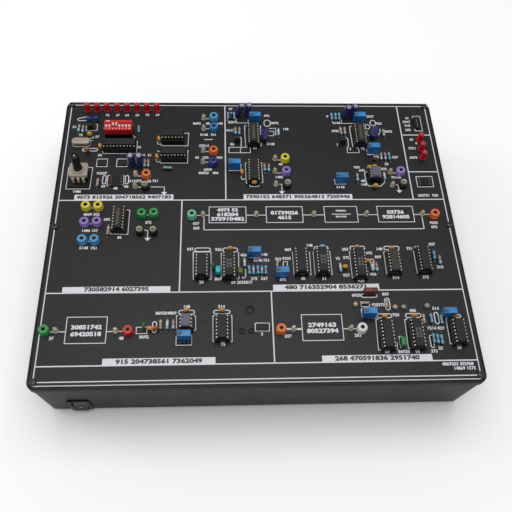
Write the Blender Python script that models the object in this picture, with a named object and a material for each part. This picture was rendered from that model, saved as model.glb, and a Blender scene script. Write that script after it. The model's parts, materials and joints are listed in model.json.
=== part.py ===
"""Digital communication trainer: a moulded bench box closed by a populated circuit panel.

Metres, +Z up. The front of the box faces -Y. The origin is under the middle of the box,
on the surface that its rubber feet stand on.
"""
import math

import bmesh
import bpy
from mathutils import Matrix, Vector

# Printed field: the border line on the panel, measured line centre to line centre
FIELD_WIDTH = 0.288
FIELD_DEPTH = 0.2326

# Panel: the circuit board that closes the box
PANEL_MARGIN = 0.0026
PANEL_THICKNESS = 0.0016
SINK = 0.0004

# Rim: the moulded frame that carries the panel
LIP_WIDTH = 0.0013
LIP_DROP = 0.0012
PANEL_GAP = 0.0006
LEDGE_WIDTH = 0.0045
LEDGE_THICKNESS = 0.002
RIM_HEIGHT = 0.0053
RIM_WALL = 0.0021
RIM_BEVEL = 0.0006
RIM_CORNER = 0.0055
LEAST_CORNER = 0.0004

# Base: the drafted tub below the rim
BASE_STEP = 0.0008
BASE_DRAFT = 0.0028
BASE_HEIGHT = 0.0462
BASE_WALL = 0.0026
BASE_EDGE = 0.0008
FLOOR = 0.002
TONGUE_HEIGHT = 0.0023
BOSS_RADIUS = 0.004
BOSS_SKIN = 0.001
BOSS_SETBACK = 0.0001
PILOT_DEPTH = 0.014
SEAT_GAP = 0.0003
OVERRUN = 0.002

# Rubber feet
FOOT_STAND = 0.003
FOOT_RADIUS = 0.0065
FOOT_TAPER = 0.001
FOOT_RECESS = 0.0009
FOOT_INSET = 0.018

# Panel screws: pan heads, one at each corner of the border and one at each side's middle
SCREW_SHANK_RADIUS = 0.00125
SCREW_HEAD_RADIUS = 0.0025
SCREW_HEAD_HEIGHT = 0.0017
SCREW_LENGTH = 0.014
SCREW_CLEARANCE = 0.00025
SCREW_POINT = 0.002
HEAD_CROWN_SHARE = 0.62

# Rocker switch on the front wall
SWITCH_FROM_FIELD = 0.0221
SWITCH_RISE = 0.012
BEZEL_WIDTH = 0.015
BEZEL_HEIGHT = 0.021
BEZEL_THICKNESS = 0.0012
BEZEL_EDGE = 0.0003
SWITCH_WIDTH = 0.013
SWITCH_HEIGHT = 0.0188
SWITCH_DEPTH = 0.0125
SWITCH_WALL = 0.0007
SWITCH_FIT = 0.0003
ROCKER_WIDTH = 0.0098
ROCKER_TILT = math.radians(11.0)
ROCKER_CROWN = math.radians(24.0)
ROCKER_SKIRT = math.radians(8.0)
ROCKER_STAND = 0.0015
ROCKER_SAG = 0.0012
SWITCH_TAB_WIDTH = 0.0048
SWITCH_TAB_LENGTH = 0.008
SWITCH_TAB_THICKNESS = 0.0008

# Power inlet on the rear wall
INLET_FROM_FIELD = 0.039
INLET_RISE = 0.0245
INLET_WIDTH = 0.0272
INLET_HEIGHT = 0.0196
INLET_DEPTH = 0.018
INLET_WALL = 0.0014
INLET_FLANGE_WIDTH = 0.031
INLET_FLANGE_HEIGHT = 0.0236
INLET_FLANGE_THICKNESS = 0.0013
INLET_CHAMFER = 0.0045
INLET_CORNER = 0.001
INLET_BACK = 0.003
PIN_WIDTH = 0.002
PIN_HEIGHT = 0.004
PIN_LENGTH = 0.012
PIN_SPREAD = 0.007
PIN_OFFSET = 0.002

# Mains supply inside the box: a transformer and a regulator board, as one assembly
SUPPLY_WIDTH = 0.082
SUPPLY_DEPTH = 0.058
SUPPLY_BOARD = 0.0016
SUPPLY_FROM_FIELD = 0.017
SUPPLY_PILLAR_RADIUS = 0.0035
SUPPLY_PILLAR_HEIGHT = 0.004
SUPPLY_PILLAR_INSET = 0.005
CORE_WIDTH = 0.042
CORE_DEPTH = 0.016
CORE_HEIGHT = 0.035
BOBBIN_WIDTH = 0.026
BOBBIN_DEPTH = 0.034
BOBBIN_HEIGHT = 0.024
SMOOTHING_RADIUS = 0.0065
SMOOTHING_HEIGHT = 0.022
SMOOTHING_PITCH = 0.016

# Patch sockets
SOCKET_RADIUS = 0.00375
SOCKET_TOP_RADIUS = 0.0034
SOCKET_HEIGHT = 0.0050
SOCKET_ROUND = 0.0010
SOCKET_BORE = 0.0014
SOCKET_STEM_RADIUS = 0.0020
SOCKET_STEM = 0.0014
STEM_CLEARANCE = 0.0005

# Ground sockets and test posts, soldered in the panel
GROUND_BASE_RADIUS = 0.0030
GROUND_BASE_HEIGHT = 0.0028
GROUND_CAP_RADIUS = 0.0026
GROUND_HEIGHT = 0.0056
GROUND_DISH = 0.0011
POST_FLANGE_RADIUS = 0.0019
POST_FLANGE_HEIGHT = 0.0010
POST_HEAD_RADIUS = 0.0017
POST_CROWN_RADIUS = 0.0010
POST_HEIGHT = 0.0052
DOME_POST_RADIUS = 0.0021
DOME_POST_HEIGHT = 0.0030

# Indicator lamps
LAMP_FLANGE_RADIUS = 0.0029
LAMP_FLANGE_HEIGHT = 0.0012
LAMP_RADIUS = 0.0025
LAMP_HEIGHT = 0.0088
LAMP_CROWN_SHARE = 0.6

# Dual in-line chips in their sockets
PIN_PITCH = 0.00254
CHIP_ROW_SPAN = 0.00762
CHIP_SOCKET_WIDTH = 0.0101
CHIP_SOCKET_HEIGHT = 0.0042
CHIP_SOCKET_SLOT = 0.0050
EMPTY_SOCKET_HEIGHT = 0.0018
CHIP_BASE_WIDTH = 0.0058
CHIP_WIDTH = 0.0064
CHIP_TOP_WIDTH = 0.0059
CHIP_STAND = 0.0004
CHIP_THICKNESS = 0.0033
CHIP_END = 0.0004

# Eight-way slide switch
SLIDE_WIDTH = 0.0213
SLIDE_DEPTH = 0.0098
SLIDE_HEIGHT = 0.0055
SLIDE_SLOT_WIDTH = 0.0016
SLIDE_SLOT_LENGTH = 0.0050
SLIDE_SLOT_DEPTH = 0.0022
SLIDER_WIDTH = 0.0012
SLIDER_LENGTH = 0.0026
SLIDER_PROUD = 0.0009
SLIDER_NUB = 0.0012
SLIDER_TRAVEL = 0.0018
SLIDER_FLOAT = 0.0003

# Multi-turn trimmers
TRIMMER_WIDTH = 0.0090
TRIMMER_DEPTH = 0.0044
TRIMMER_HEIGHT = 0.0086
TRIMMER_STANDOFF = 0.0004
TRIMMER_SCREW_RADIUS = 0.0011
TRIMMER_SCREW_CLEARANCE = 0.0002
TRIMMER_SCREW_LENGTH = 0.0024
TRIMMER_SCREW_PROUD = 0.0009
TRIMMER_SCREW_INSET = 0.0016
TRIMMER_SLOT_WIDTH = 0.0005
TRIMMER_SLOT_DEPTH = 0.0006

# Rotary potentiometer
POT_WIDTH = 0.0135
POT_DEPTH = 0.0120
POT_HEIGHT = 0.0030
POT_CORNER = 0.0016
POT_LIFT = 0.0003
POT_BASE_HEIGHT = 0.0050
POT_BASE_INSET = 0.0006
POT_COLLAR_RADIUS = 0.0048
POT_COLLAR_HEIGHT = 0.0014
POT_BORE_CLEARANCE = 0.0003
POT_SHAFT_RADIUS = 0.0031
POT_KNOB_RADIUS = 0.0034
POT_KNOB_TOP_RADIUS = 0.0030
POT_SHAFT_DEPTH = 0.0030
POT_SHAFT_HEIGHT = 0.0146
POT_INDEX_WIDTH = 0.0008
POT_INDEX_DEPTH = 0.0006
POT_LUG_WIDTH = 0.0026
POT_LUG_PITCH = 0.0038
POT_LUG_REACH = 0.0016
POT_LUG_THICKNESS = 0.0006
POT_LUG_DROP = 0.0044

# Small parts soldered to the panel
RESISTOR_LENGTH = 0.0064
RESISTOR_RADIUS = 0.00115
RESISTOR_SPAN = 0.0098
RESISTOR_RISE = 0.0021
LEAD_RADIUS = 0.0003
DISC_RADIUS = 0.0026
DISC_THICKNESS = 0.0028
DISC_EDGE_SHARE = 0.45
CAN_RADIUS = 0.0026
CAN_HEIGHT = 0.0112
CAN_BEVEL = 0.0004
BIG_CAN_RADIUS = 0.0032
CRYSTAL_WIDTH = 0.0068
CRYSTAL_LENGTH = 0.0144
CRYSTAL_HEIGHT = 0.0042
CRYSTAL_CORNER = 0.0028
CRYSTAL_SHOULDER = 0.0012
HEADER_WIDTH = 0.0050
HEADER_LENGTH = 0.0110
HEADER_HEIGHT = 0.0018
PLATE_PART_WIDTH = 0.0080
PLATE_PART_DEPTH = 0.0056
PLATE_PART_HEIGHT = 0.0022
FILM_WIDTH = 0.0085
FILM_DEPTH = 0.0036
FILM_HEIGHT = 0.0050
RING_RADIUS = 0.0044
RING_BORE = 0.0018
RING_HEIGHT = 0.0014
BUTTON_RADIUS = 0.0029
DIMPLE_RADIUS = 0.0020
BUTTON_HEIGHT = 0.0009
TO_WIDTH = 0.0046
TO_DEPTH = 0.0034
TO_HEIGHT = 0.0052

# Facets round the circle
ROUND = 16
MIDDLE = 12
SMALL = 8
TINY = 6
CORNER_STEPS = 3
RESISTOR_SIDES = 5

# Where things stand on the panel: shares of the printed field, from its front left corner
PATCH_SOCKET_PLACE_SHARES = {
    "data_socket_sky": (0.396, 0.939),
    "data_socket_blue": (0.396, 0.892),
    "data_socket_orange": (0.3955, 0.792),
    "data_socket_navy": (0.394, 0.745),
    "data_socket_amber": (0.2195, 0.694),
    "carrier_socket_yellow": (0.587, 0.760),
    "carrier_socket_violet": (0.588, 0.706),
    "carrier_socket_lilac": (0.895, 0.705),
    "modulator_socket_yellow_1": (0.0725, 0.5705),
    "modulator_socket_yellow_2": (0.1035, 0.570),
    "modulator_socket_violet_1": (0.0735, 0.510),
    "modulator_socket_violet_2": (0.1045, 0.511),
    "modulator_socket_sky_1": (0.073, 0.447),
    "modulator_socket_sky_2": (0.103, 0.447),
    "modulator_socket_green_1": (0.214, 0.5415),
    "modulator_socket_green_2": (0.2445, 0.5425),
    "recovery_socket_mint": (0.3405, 0.536),
    "recovery_socket_orange": (0.9645, 0.535),
    "envelope_socket_green": (0.011, 0.1495),
    "envelope_socket_red": (0.2005, 0.145),
    "product_socket_orange": (0.5515, 0.144),
    "product_socket_white": (0.740, 0.143),
}
GROUND_PLACE_SHARES = ((0.218, 0.648), (0.589, 0.653), (0.896, 0.654), (0.212, 0.477), (0.2455, 0.477))
POST_PLACE_SHARES = (
    (0.193, 0.695), (0.194, 0.646), (0.368, 0.933), (0.368, 0.885), (0.368, 0.791), (0.368, 0.742),
    (0.560, 0.762), (0.558, 0.709), (0.559, 0.657), (0.868, 0.706), (0.868, 0.653),
    (0.3685, 0.5395), (0.504, 0.5395), (0.652, 0.5395), (0.788, 0.5395), (0.9335, 0.5395),
    (0.036, 0.150), (0.172, 0.147), (0.5805, 0.146), (0.7145, 0.1455),
)
DOME_POST_PLACE_SHARES = ((0.732, 0.221), (0.826, 0.211), (0.8465, 0.211), (0.903, 0.214))
DATA_LAMP_START_SHARE = 0.0455
DATA_LAMP_STEP_SHARE = 0.0274
DATA_LAMP_DEPTH_SHARE = 0.9765
DATA_LAMPS = 8
POWER_LAMP_PLACE_SHARES = ((0.967, 0.847), (0.966, 0.807), (0.9655, 0.770))
# Chips: place, pins in one row, and whether the rows run across the panel
CHIP_PLACE_SHARES = (
    (0.144, 0.812, 10, True), (0.2845, 0.850, 7, True), (0.2885, 0.7745, 8, True),
    (0.504, 0.8565, 8, False), (0.5015, 0.702, 8, False), (0.798, 0.857, 8, False),
    (0.158, 0.518, 8, False), (0.3667, 0.349, 7, False), (0.433, 0.351, 8, False),
    (0.609, 0.363, 8, False), (0.6615, 0.362, 8, False), (0.7525, 0.353, 9, False),
    (0.8375, 0.3575, 7, False), (0.9135, 0.366, 8, False), (0.332, 0.167, 4, False),
    (0.4148, 0.1473, 7, False), (0.796, 0.119, 8, False), (0.866, 0.1205, 8, False),
    (0.9647, 0.1255, 7, False), (0.8235, 0.690, 4, False),
)
# Chip sockets left empty: place and pins in one row
EMPTY_PLACE_SHARES = ((0.141, 0.675, 4), (0.957, 0.669, 3))
SLIDE_PLACE_SHARE = (0.139, 0.874)
SLIDERS = 8
SLIDERS_BACK = (3, 4)
TRIMMER_PLACE_SHARES = (
    (0.5095, 0.930), (0.451, 0.728), (0.8025, 0.931), (0.8295, 0.795), (0.7325, 0.671),
    (0.495, 0.3945), (0.561, 0.324), (0.3285, 0.1245), (0.7605, 0.187), (0.9485, 0.1845),
)
POT_PLACE_SHARE = (0.0468, 0.6965)
# Resistors lying from front to back
RESISTOR_PLACE_SHARES = (
    (0.029, 0.889), (0.040, 0.886), (0.191, 0.885), (0.213, 0.741), (0.2225, 0.740), (0.095, 0.662),
    (0.4355, 0.947), (0.453, 0.946), (0.4555, 0.8795), (0.466, 0.8785), (0.574, 0.874), (0.531, 0.723),
    (0.542, 0.7215), (0.727, 0.9445), (0.738, 0.9445), (0.7485, 0.9445), (0.748, 0.8795), (0.759, 0.8795),
    (0.867, 0.872), (0.850, 0.770), (0.861, 0.770), (0.872, 0.770), (0.777, 0.682), (0.850, 0.688),
    (0.134, 0.480), (0.471, 0.364), (0.482, 0.338), (0.492, 0.338), (0.503, 0.338), (0.5125, 0.338),
    (0.522, 0.338), (0.705, 0.344), (0.784, 0.345), (0.795, 0.345), (0.943, 0.385), (0.955, 0.368),
    (0.274, 0.163), (0.289, 0.163), (0.303, 0.163), (0.806, 0.221), (0.889, 0.171), (0.9075, 0.1725),
    (0.931, 0.168), (0.9045, 0.110), (0.914, 0.108), (0.9235, 0.106),
)
# Resistors lying across the panel
CROSS_RESISTOR_PLACE_SHARES = ((0.274, 0.722), (0.754, 0.224))
# Drop-shaped capacitors standing on edge
DISC_PLACE_SHARES = (
    (0.055, 0.926), (0.074, 0.928), (0.061, 0.860), (0.060, 0.792), (0.502, 0.659), (0.812, 0.720),
    (0.826, 0.7225), (0.822, 0.645), (0.436, 0.411), (0.750, 0.413), (0.838, 0.408), (0.716, 0.344),
    (0.773, 0.364), (0.250, 0.150), (0.263, 0.150), (0.332, 0.205), (0.4145, 0.2035), (0.796, 0.178),
    (0.867, 0.1795), (0.963, 0.178),
)
# The same kind of capacitor turned a quarter, its flat sides to the left and right
EDGE_DISC_PLACE_SHARES = ((0.093, 0.805), (0.248, 0.836), (0.245, 0.762), (0.470, 0.698))
# Upright electrolytic cans: place, and lean to the right as a share of their height
CAN_PLACE_SHARES = (
    (0.4605, 0.960, 0.34), (0.490, 0.961, 0.10), (0.762, 0.953, 0.26), (0.7845, 0.958, 0.18),
)
BIG_CAN_PLACE_SHARES = ((0.178, 0.743, 0.0), (0.200, 0.743, 0.0))
# Lying electrolytic cans: place, and turn from the depth direction in degrees
LYING_CAN_PLACE_SHARES = ((0.5365, 0.8585, -10.0), (0.840, 0.869, -26.0))
CRYSTAL_PLACE_SHARE = (0.040, 0.829)
HEADER_PLACE_SHARE = (0.967, 0.920)
PLATE_PART_PLACE_SHARES = ((0.100, 0.749), (0.1535, 0.748), (0.5078, 0.154))
FILM_PLACE_SHARES = ((0.771, 0.262), (0.4065, 0.336), (0.460, 0.332), (0.831, 0.099), (0.240, 0.155))
FILM_TURNS = (0, 1, 1, 1, 1)
FILM_SIZE_SHARES = (1.15, 0.62, 0.50, 0.72, 0.55)
RING_PLACE_SHARE = (0.829, 0.750)
BUTTON_PLACE_SHARES = ((0.4805, 0.2105),)
DIMPLE_PLACE_SHARES = ((0.461, 0.143), (0.482, 0.143))
TO_PLACE_SHARES = ((0.058, 0.896), (0.4595, 0.839), (0.750, 0.832))
SCREW_PLACE_SHARES = {
    "panel_screw_front_left": (0.0, 0.0),
    "panel_screw_front_right": (1.0, 0.0),
    "panel_screw_back_left": (0.0, 1.0),
    "panel_screw_back_right": (1.0, 1.0),
    "panel_screw_middle_left": (0.0, 0.5),
    "panel_screw_middle_right": (1.0, 0.5),
}

# Heights and outlines that follow from the sizes above
BASE_BOTTOM_Z = FOOT_STAND
SEAM_Z = BASE_BOTTOM_Z + BASE_HEIGHT
RIM_BOTTOM_Z = SEAM_Z + SEAT_GAP
RIM_TOP_Z = RIM_BOTTOM_Z + RIM_HEIGHT
PANEL_TOP_Z = RIM_TOP_Z + LIP_DROP
PANEL_BOTTOM_Z = PANEL_TOP_Z - PANEL_THICKNESS
LEDGE_TOP_Z = PANEL_BOTTOM_Z - SEAT_GAP
LEDGE_BOTTOM_Z = LEDGE_TOP_Z - LEDGE_THICKNESS
TONGUE_TOP_Z = SEAM_Z + TONGUE_HEIGHT
BOSS_TOP_Z = LEDGE_BOTTOM_Z - SEAT_GAP
FLOOR_TOP_Z = BASE_BOTTOM_Z + FLOOR
RIM_REACH = PANEL_MARGIN + PANEL_GAP + LIP_WIDTH
RIM_OUTER_WIDTH = FIELD_WIDTH + 2 * RIM_REACH
RIM_OUTER_DEPTH = FIELD_DEPTH + 2 * RIM_REACH
TONGUE_OUTSET = RIM_WALL + SEAT_GAP
TONGUE_INSET = BASE_STEP + BASE_WALL
PANEL_WIDTH = FIELD_WIDTH + 2 * PANEL_MARGIN
PANEL_DEPTH = FIELD_DEPTH + 2 * PANEL_MARGIN
PANEL_CORNER = RIM_CORNER - LIP_WIDTH - PANEL_GAP


def wall_inset(height_z):
    """How far the base's outer wall stands in from the rim's outer face at a height."""
    return BASE_STEP + BASE_DRAFT * (SEAM_Z - height_z) / BASE_HEIGHT


SWITCH_Z = BASE_BOTTOM_Z + SWITCH_RISE
SWITCH_WALL_INSET = wall_inset(SWITCH_Z)
DRAFT_ANGLE = math.atan2(BASE_DRAFT, BASE_HEIGHT)
ROCKER_REACH = SWITCH_HEIGHT / 2 - SWITCH_WALL - SWITCH_FIT
ROCKER_TIP_OUT = BEZEL_THICKNESS + ROCKER_STAND
ROCKER_PIVOT_OUT = ROCKER_TIP_OUT - ROCKER_REACH * math.sin(ROCKER_CROWN + ROCKER_TILT)
ROCKER_FLOOR_OUT = ROCKER_PIVOT_OUT - ROCKER_REACH * math.sin(ROCKER_SKIRT + ROCKER_TILT) - SWITCH_FIT
FRONT_OVERHANG = max(ROCKER_TIP_OUT - SWITCH_WALL_INSET, 0.0)
CASE_CENTRE_Y = FRONT_OVERHANG / 2
FRONT_Y = CASE_CENTRE_Y - RIM_OUTER_DEPTH / 2
BACK_Y = CASE_CENTRE_Y + RIM_OUTER_DEPTH / 2
INLET_Z = BASE_BOTTOM_Z + INLET_RISE


def spot(place, height_z=PANEL_TOP_Z):
    """World point of a place given as shares of the printed field."""
    return Vector(((place[0] - 0.5) * FIELD_WIDTH, CASE_CENTRE_Y + (place[1] - 0.5) * FIELD_DEPTH, height_z))


def finish(name, red, green, blue, roughness, metallic=0.0):
    """A Principled material of one colour."""
    material = bpy.data.materials.new(name)
    material.use_nodes = True
    shader = material.node_tree.nodes["Principled BSDF"]
    shader.inputs["Base Color"].default_value = (red, green, blue, 1.0)
    shader.inputs["Roughness"].default_value = roughness
    shader.inputs["Metallic"].default_value = metallic
    material.diffuse_color = (red, green, blue, 1.0)
    return material


def add_object(name, shape, material=None, smooth=False):
    """Turns a bmesh into a named object of the scene."""
    bmesh.ops.recalc_face_normals(shape, faces=shape.faces)
    mesh = bpy.data.meshes.new(name)
    shape.to_mesh(mesh)
    shape.free()
    item = bpy.data.objects.new(name, mesh)
    bpy.context.scene.collection.objects.link(item)
    if material is not None:
        mesh.materials.append(material)
    if smooth:
        mesh.shade_smooth()
        mesh.set_sharp_from_angle(angle=math.radians(40))
    return item


def as_cutter(item):
    """Marks an object as a tool that only shapes others."""
    item.hide_render = True
    item.display_type = 'WIRE'
    return item


def boolean(item, cutter, operation, own_crossings=False):
    """Adds an exact Boolean to an object."""
    step = item.modifiers.new(operation.lower(), 'BOOLEAN')
    step.operation = operation
    step.solver = 'EXACT'
    step.use_self = own_crossings
    step.object = as_cutter(cutter)
    return step


def rounded_ring(width, depth, radius, steps=CORNER_STEPS):
    """Points of a rectangle with round corners, counter-clockwise about its centre."""
    corner = min(max(radius, LEAST_CORNER), width / 2 - LEAST_CORNER, depth / 2 - LEAST_CORNER)
    points = []
    for quarter, (sign_x, sign_y) in enumerate(((1, 1), (-1, 1), (-1, -1), (1, -1))):
        centre_x = sign_x * (width / 2 - corner)
        centre_y = sign_y * (depth / 2 - corner)
        for step in range(steps + 1):
            angle = math.pi / 2 * (quarter + step / steps)
            points.append((centre_x + corner * math.cos(angle), centre_y + corner * math.sin(angle)))
    return points


def circle_ring(radius, sides, phase=0.0):
    """Points round a circle, counter-clockwise."""
    return [(radius * math.cos(2 * math.pi * (i + phase) / sides),
             radius * math.sin(2 * math.pi * (i + phase) / sides)) for i in range(sides)]


def loft(shape, rings, closed=False):
    """Joins rings of equal count with quads; caps both ends, or closes the last on the first."""
    rows = [[shape.verts.new(point) for point in ring] for ring in rings]
    count = len(rows[0])
    pairs = list(zip(rows, rows[1:]))
    if closed:
        pairs.append((rows[-1], rows[0]))
    for lower, upper in pairs:
        for i in range(count):
            j = (i + 1) % count
            shape.faces.new((lower[i], lower[j], upper[j], upper[i]))
    if not closed:
        shape.faces.new(list(reversed(rows[0])))
        shape.faces.new(rows[-1])
    return rows


def placed(points, height_z, matrix=None):
    """Lifts flat points to a height, through a matrix where one is given."""
    lifted = [Vector((x, y, height_z)) for x, y in points]
    return [matrix @ point for point in lifted] if matrix else lifted


def turned(shape, profile, sides, matrix, phase=0.0):
    """A closed turned solid: profile pairs of radius and height, with flat ends."""
    rings = [placed(circle_ring(radius, sides, phase), height, matrix) for radius, height in profile]
    loft(shape, rings)


def turned_ring(shape, profile, sides, matrix):
    """A closed turned ring: a profile loop of radius and height round an open bore."""
    rings = [placed(circle_ring(radius, sides), height, matrix) for radius, height in profile]
    loft(shape, rings, closed=True)


def block(shape, low, high, matrix=None):
    """A box between two corners."""
    ring = [(low[0], low[1]), (high[0], low[1]), (high[0], high[1]), (low[0], high[1])]
    loft(shape, [placed(ring, low[2], matrix), placed(ring, high[2], matrix)])


def centred_block(shape, centre, width, depth, low_z, high_z):
    """A box about a centre in plan, between two heights."""
    block(shape, (centre.x - width / 2, centre.y - depth / 2, low_z),
          (centre.x + width / 2, centre.y + depth / 2, high_z))


def case_ring(inset, height_z, corner=RIM_CORNER):
    """The case's plan outline, set in from the rim's outer face."""
    outline = rounded_ring(RIM_OUTER_WIDTH - 2 * inset, RIM_OUTER_DEPTH - 2 * inset, corner - inset)
    return placed(outline, height_z, Matrix.Translation((0, CASE_CENTRE_Y, 0)))


def build_base(material):
    """The tub: drafted walls, floor, tongue, screw bosses, foot recesses and two cut-outs."""
    foot_inset = wall_inset(BASE_BOTTOM_Z)
    shape = bmesh.new()
    loft(shape, [
        case_ring(foot_inset + BASE_EDGE, BASE_BOTTOM_Z),
        case_ring(foot_inset, BASE_BOTTOM_Z + BASE_EDGE),
        case_ring(BASE_STEP, SEAM_Z),
        case_ring(TONGUE_OUTSET, SEAM_Z),
        case_ring(TONGUE_OUTSET, TONGUE_TOP_Z),
        case_ring(TONGUE_INSET, TONGUE_TOP_Z),
        case_ring(TONGUE_INSET, SEAM_Z),
        case_ring(foot_inset + BASE_WALL, FLOOR_TOP_Z),
    ])
    base = add_object("case_base", shape, material)

    bosses = bmesh.new()
    for place in SCREW_PLACE_SHARES.values():
        turned(bosses, ((BOSS_RADIUS, FLOOR_TOP_Z - SINK), (BOSS_RADIUS, BOSS_TOP_Z)), MIDDLE,
               Matrix.Translation(spot(place, 0)))
    boss_tool = add_object("boss_tool", bosses)
    envelope = bmesh.new()
    loft(envelope, [
        case_ring(foot_inset + BOSS_SKIN, BASE_BOTTOM_Z),
        case_ring(TONGUE_OUTSET + BOSS_SETBACK, SEAM_Z - SINK),
        case_ring(TONGUE_OUTSET + BOSS_SETBACK, BOSS_TOP_Z + OVERRUN),
    ])
    boolean(boss_tool, add_object("boss_envelope", envelope), 'INTERSECT')
    boolean(base, boss_tool, 'UNION')

    cuts = bmesh.new()
    for place in SCREW_PLACE_SHARES.values():
        turned(cuts, ((SCREW_SHANK_RADIUS + SCREW_CLEARANCE, BOSS_TOP_Z - PILOT_DEPTH),
                      (SCREW_SHANK_RADIUS + SCREW_CLEARANCE, BOSS_TOP_Z + OVERRUN)), SMALL,
               Matrix.Translation(spot(place, 0)))
    for centre in foot_centres():
        turned(cuts, ((FOOT_RADIUS + SEAT_GAP, BASE_BOTTOM_Z - OVERRUN),
                      (FOOT_RADIUS + SEAT_GAP, BASE_BOTTOM_Z + FOOT_RECESS)), MIDDLE,
               Matrix.Translation(centre))
    switch = switch_frame()
    block(cuts, (-SWITCH_WIDTH / 2 - SWITCH_FIT, -SWITCH_HEIGHT / 2 - SWITCH_FIT, -SWITCH_DEPTH),
          (SWITCH_WIDTH / 2 + SWITCH_FIT, SWITCH_HEIGHT / 2 + SWITCH_FIT, OVERRUN), switch)
    inlet = inlet_frame()
    outline = inlet_outline(INLET_WIDTH + 2 * SEAT_GAP, INLET_HEIGHT + 2 * SEAT_GAP, INLET_CHAMFER)
    loft(cuts, [placed(outline, -INLET_DEPTH, inlet), placed(outline, OVERRUN, inlet)])
    boolean(base, add_object("base_cuts", cuts), 'DIFFERENCE')
    return base


def foot_centres():
    """Plan centres of the four feet."""
    inset = wall_inset(BASE_BOTTOM_Z) + FOOT_INSET
    reach_x = RIM_OUTER_WIDTH / 2 - inset
    reach_y = RIM_OUTER_DEPTH / 2 - inset
    return [Vector((side_x * reach_x, CASE_CENTRE_Y + side_y * reach_y, 0))
            for side_y in (-1, 1) for side_x in (-1, 1)]


def switch_frame():
    """Frame on the front wall's face at the switch: Z out of the wall, Y up the wall."""
    seat = Vector((-FIELD_WIDTH / 2 + SWITCH_FROM_FIELD, FRONT_Y + SWITCH_WALL_INSET, SWITCH_Z))
    turn = Matrix.Rotation(math.pi / 2 + DRAFT_ANGLE, 4, 'X')
    return Matrix.Translation(seat) @ turn


def inlet_frame():
    """Frame on the rear wall's face at the inlet: Z out of the wall, Y up the wall."""
    seat = Vector((-FIELD_WIDTH / 2 + INLET_FROM_FIELD, BACK_Y - wall_inset(INLET_Z), INLET_Z))
    turn = Matrix.Rotation(math.pi, 4, 'Z') @ Matrix.Rotation(math.pi / 2 + DRAFT_ANGLE, 4, 'X')
    return Matrix.Translation(seat) @ turn


def inlet_outline(width, height, chamfer):
    """The inlet's outline: a rectangle with its two upper corners cut off."""
    half_x = width / 2
    half_y = height / 2
    return [(-half_x, -half_y), (half_x, -half_y), (half_x, half_y - chamfer),
            (half_x - chamfer, half_y), (chamfer - half_x, half_y), (-half_x, half_y - chamfer)]


def build_rim(material):
    """The frame: outer skirt over the base's tongue, lip round the panel and ledge beneath it."""
    ledge_inset = LIP_WIDTH + PANEL_GAP + LEDGE_WIDTH
    shape = bmesh.new()
    loft(shape, [
        case_ring(0, RIM_BOTTOM_Z),
        case_ring(0, RIM_TOP_Z - RIM_BEVEL),
        case_ring(RIM_BEVEL, RIM_TOP_Z),
        case_ring(LIP_WIDTH, RIM_TOP_Z),
        case_ring(LIP_WIDTH, LEDGE_TOP_Z),
        case_ring(ledge_inset, LEDGE_TOP_Z),
        case_ring(ledge_inset, LEDGE_BOTTOM_Z),
        case_ring(RIM_WALL, LEDGE_BOTTOM_Z),
        case_ring(RIM_WALL, RIM_BOTTOM_Z),
    ], closed=True)
    rim = add_object("case_rim", shape, material)
    holes = bmesh.new()
    for place in SCREW_PLACE_SHARES.values():
        turned(holes, ((SCREW_SHANK_RADIUS + SCREW_CLEARANCE, LEDGE_BOTTOM_Z - OVERRUN),
                       (SCREW_SHANK_RADIUS + SCREW_CLEARANCE, LEDGE_TOP_Z + OVERRUN)), SMALL,
               Matrix.Translation(spot(place, 0)))
    boolean(rim, add_object("rim_holes", holes), 'DIFFERENCE')
    return rim


def add_chip(shape, place, pins, across, seated=True):
    """A dual in-line socket with its chip, or an empty socket's frame."""
    length = pins * PIN_PITCH
    turn = Matrix.Rotation(math.pi / 2, 4, 'Z') if across else Matrix.Identity(4)
    frame = Matrix.Translation(spot(place)) @ turn
    if not seated:
        outer = rounded_ring(CHIP_SOCKET_WIDTH, length, LEAST_CORNER, 1)
        inner = rounded_ring(CHIP_SOCKET_SLOT, length - PIN_PITCH, LEAST_CORNER, 1)
        loft(shape, [placed(outer, -SINK, frame), placed(outer, EMPTY_SOCKET_HEIGHT, frame),
                     placed(inner, EMPTY_SOCKET_HEIGHT, frame), placed(inner, -SINK, frame)], closed=True)
        return
    base_z = CHIP_SOCKET_HEIGHT + CHIP_STAND
    half = [(CHIP_SOCKET_WIDTH / 2, -SINK), (CHIP_SOCKET_WIDTH / 2, CHIP_SOCKET_HEIGHT),
            (CHIP_BASE_WIDTH / 2, CHIP_SOCKET_HEIGHT), (CHIP_BASE_WIDTH / 2, base_z),
            (CHIP_WIDTH / 2, base_z + CHIP_THICKNESS / 2), (CHIP_TOP_WIDTH / 2, base_z + CHIP_THICKNESS)]
    section = half + [(-x, z) for x, z in reversed(half)]
    ends = [[frame @ Vector((x, y, z)) for x, z in section] for y in (length / 2, -length / 2)]
    loft(shape, ends)


def add_resistor(shape, place, across=False):
    """An axial resistor on its two splayed leads: one tube that swells into the body."""
    turn = Matrix.Rotation(math.pi / 2, 4, 'Z') if across else Matrix.Identity(4)
    frame = Matrix.Translation(spot(place)) @ turn
    half_span = RESISTOR_SPAN / 2
    half_body = RESISTOR_LENGTH / 2
    stations = ((-half_span, -SINK, LEAD_RADIUS), (-half_body, RESISTOR_RISE, RESISTOR_RADIUS),
                (half_body, RESISTOR_RISE, RESISTOR_RADIUS), (half_span, -SINK, LEAD_RADIUS))
    facing = Matrix.Rotation(-math.pi / 2, 4, 'X')
    rings = []
    for along, height, radius in stations:
        here = frame @ Matrix.Translation((0, along, height)) @ facing
        rings.append(placed(circle_ring(radius, RESISTOR_SIDES), 0, here))
    loft(shape, rings)


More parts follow.
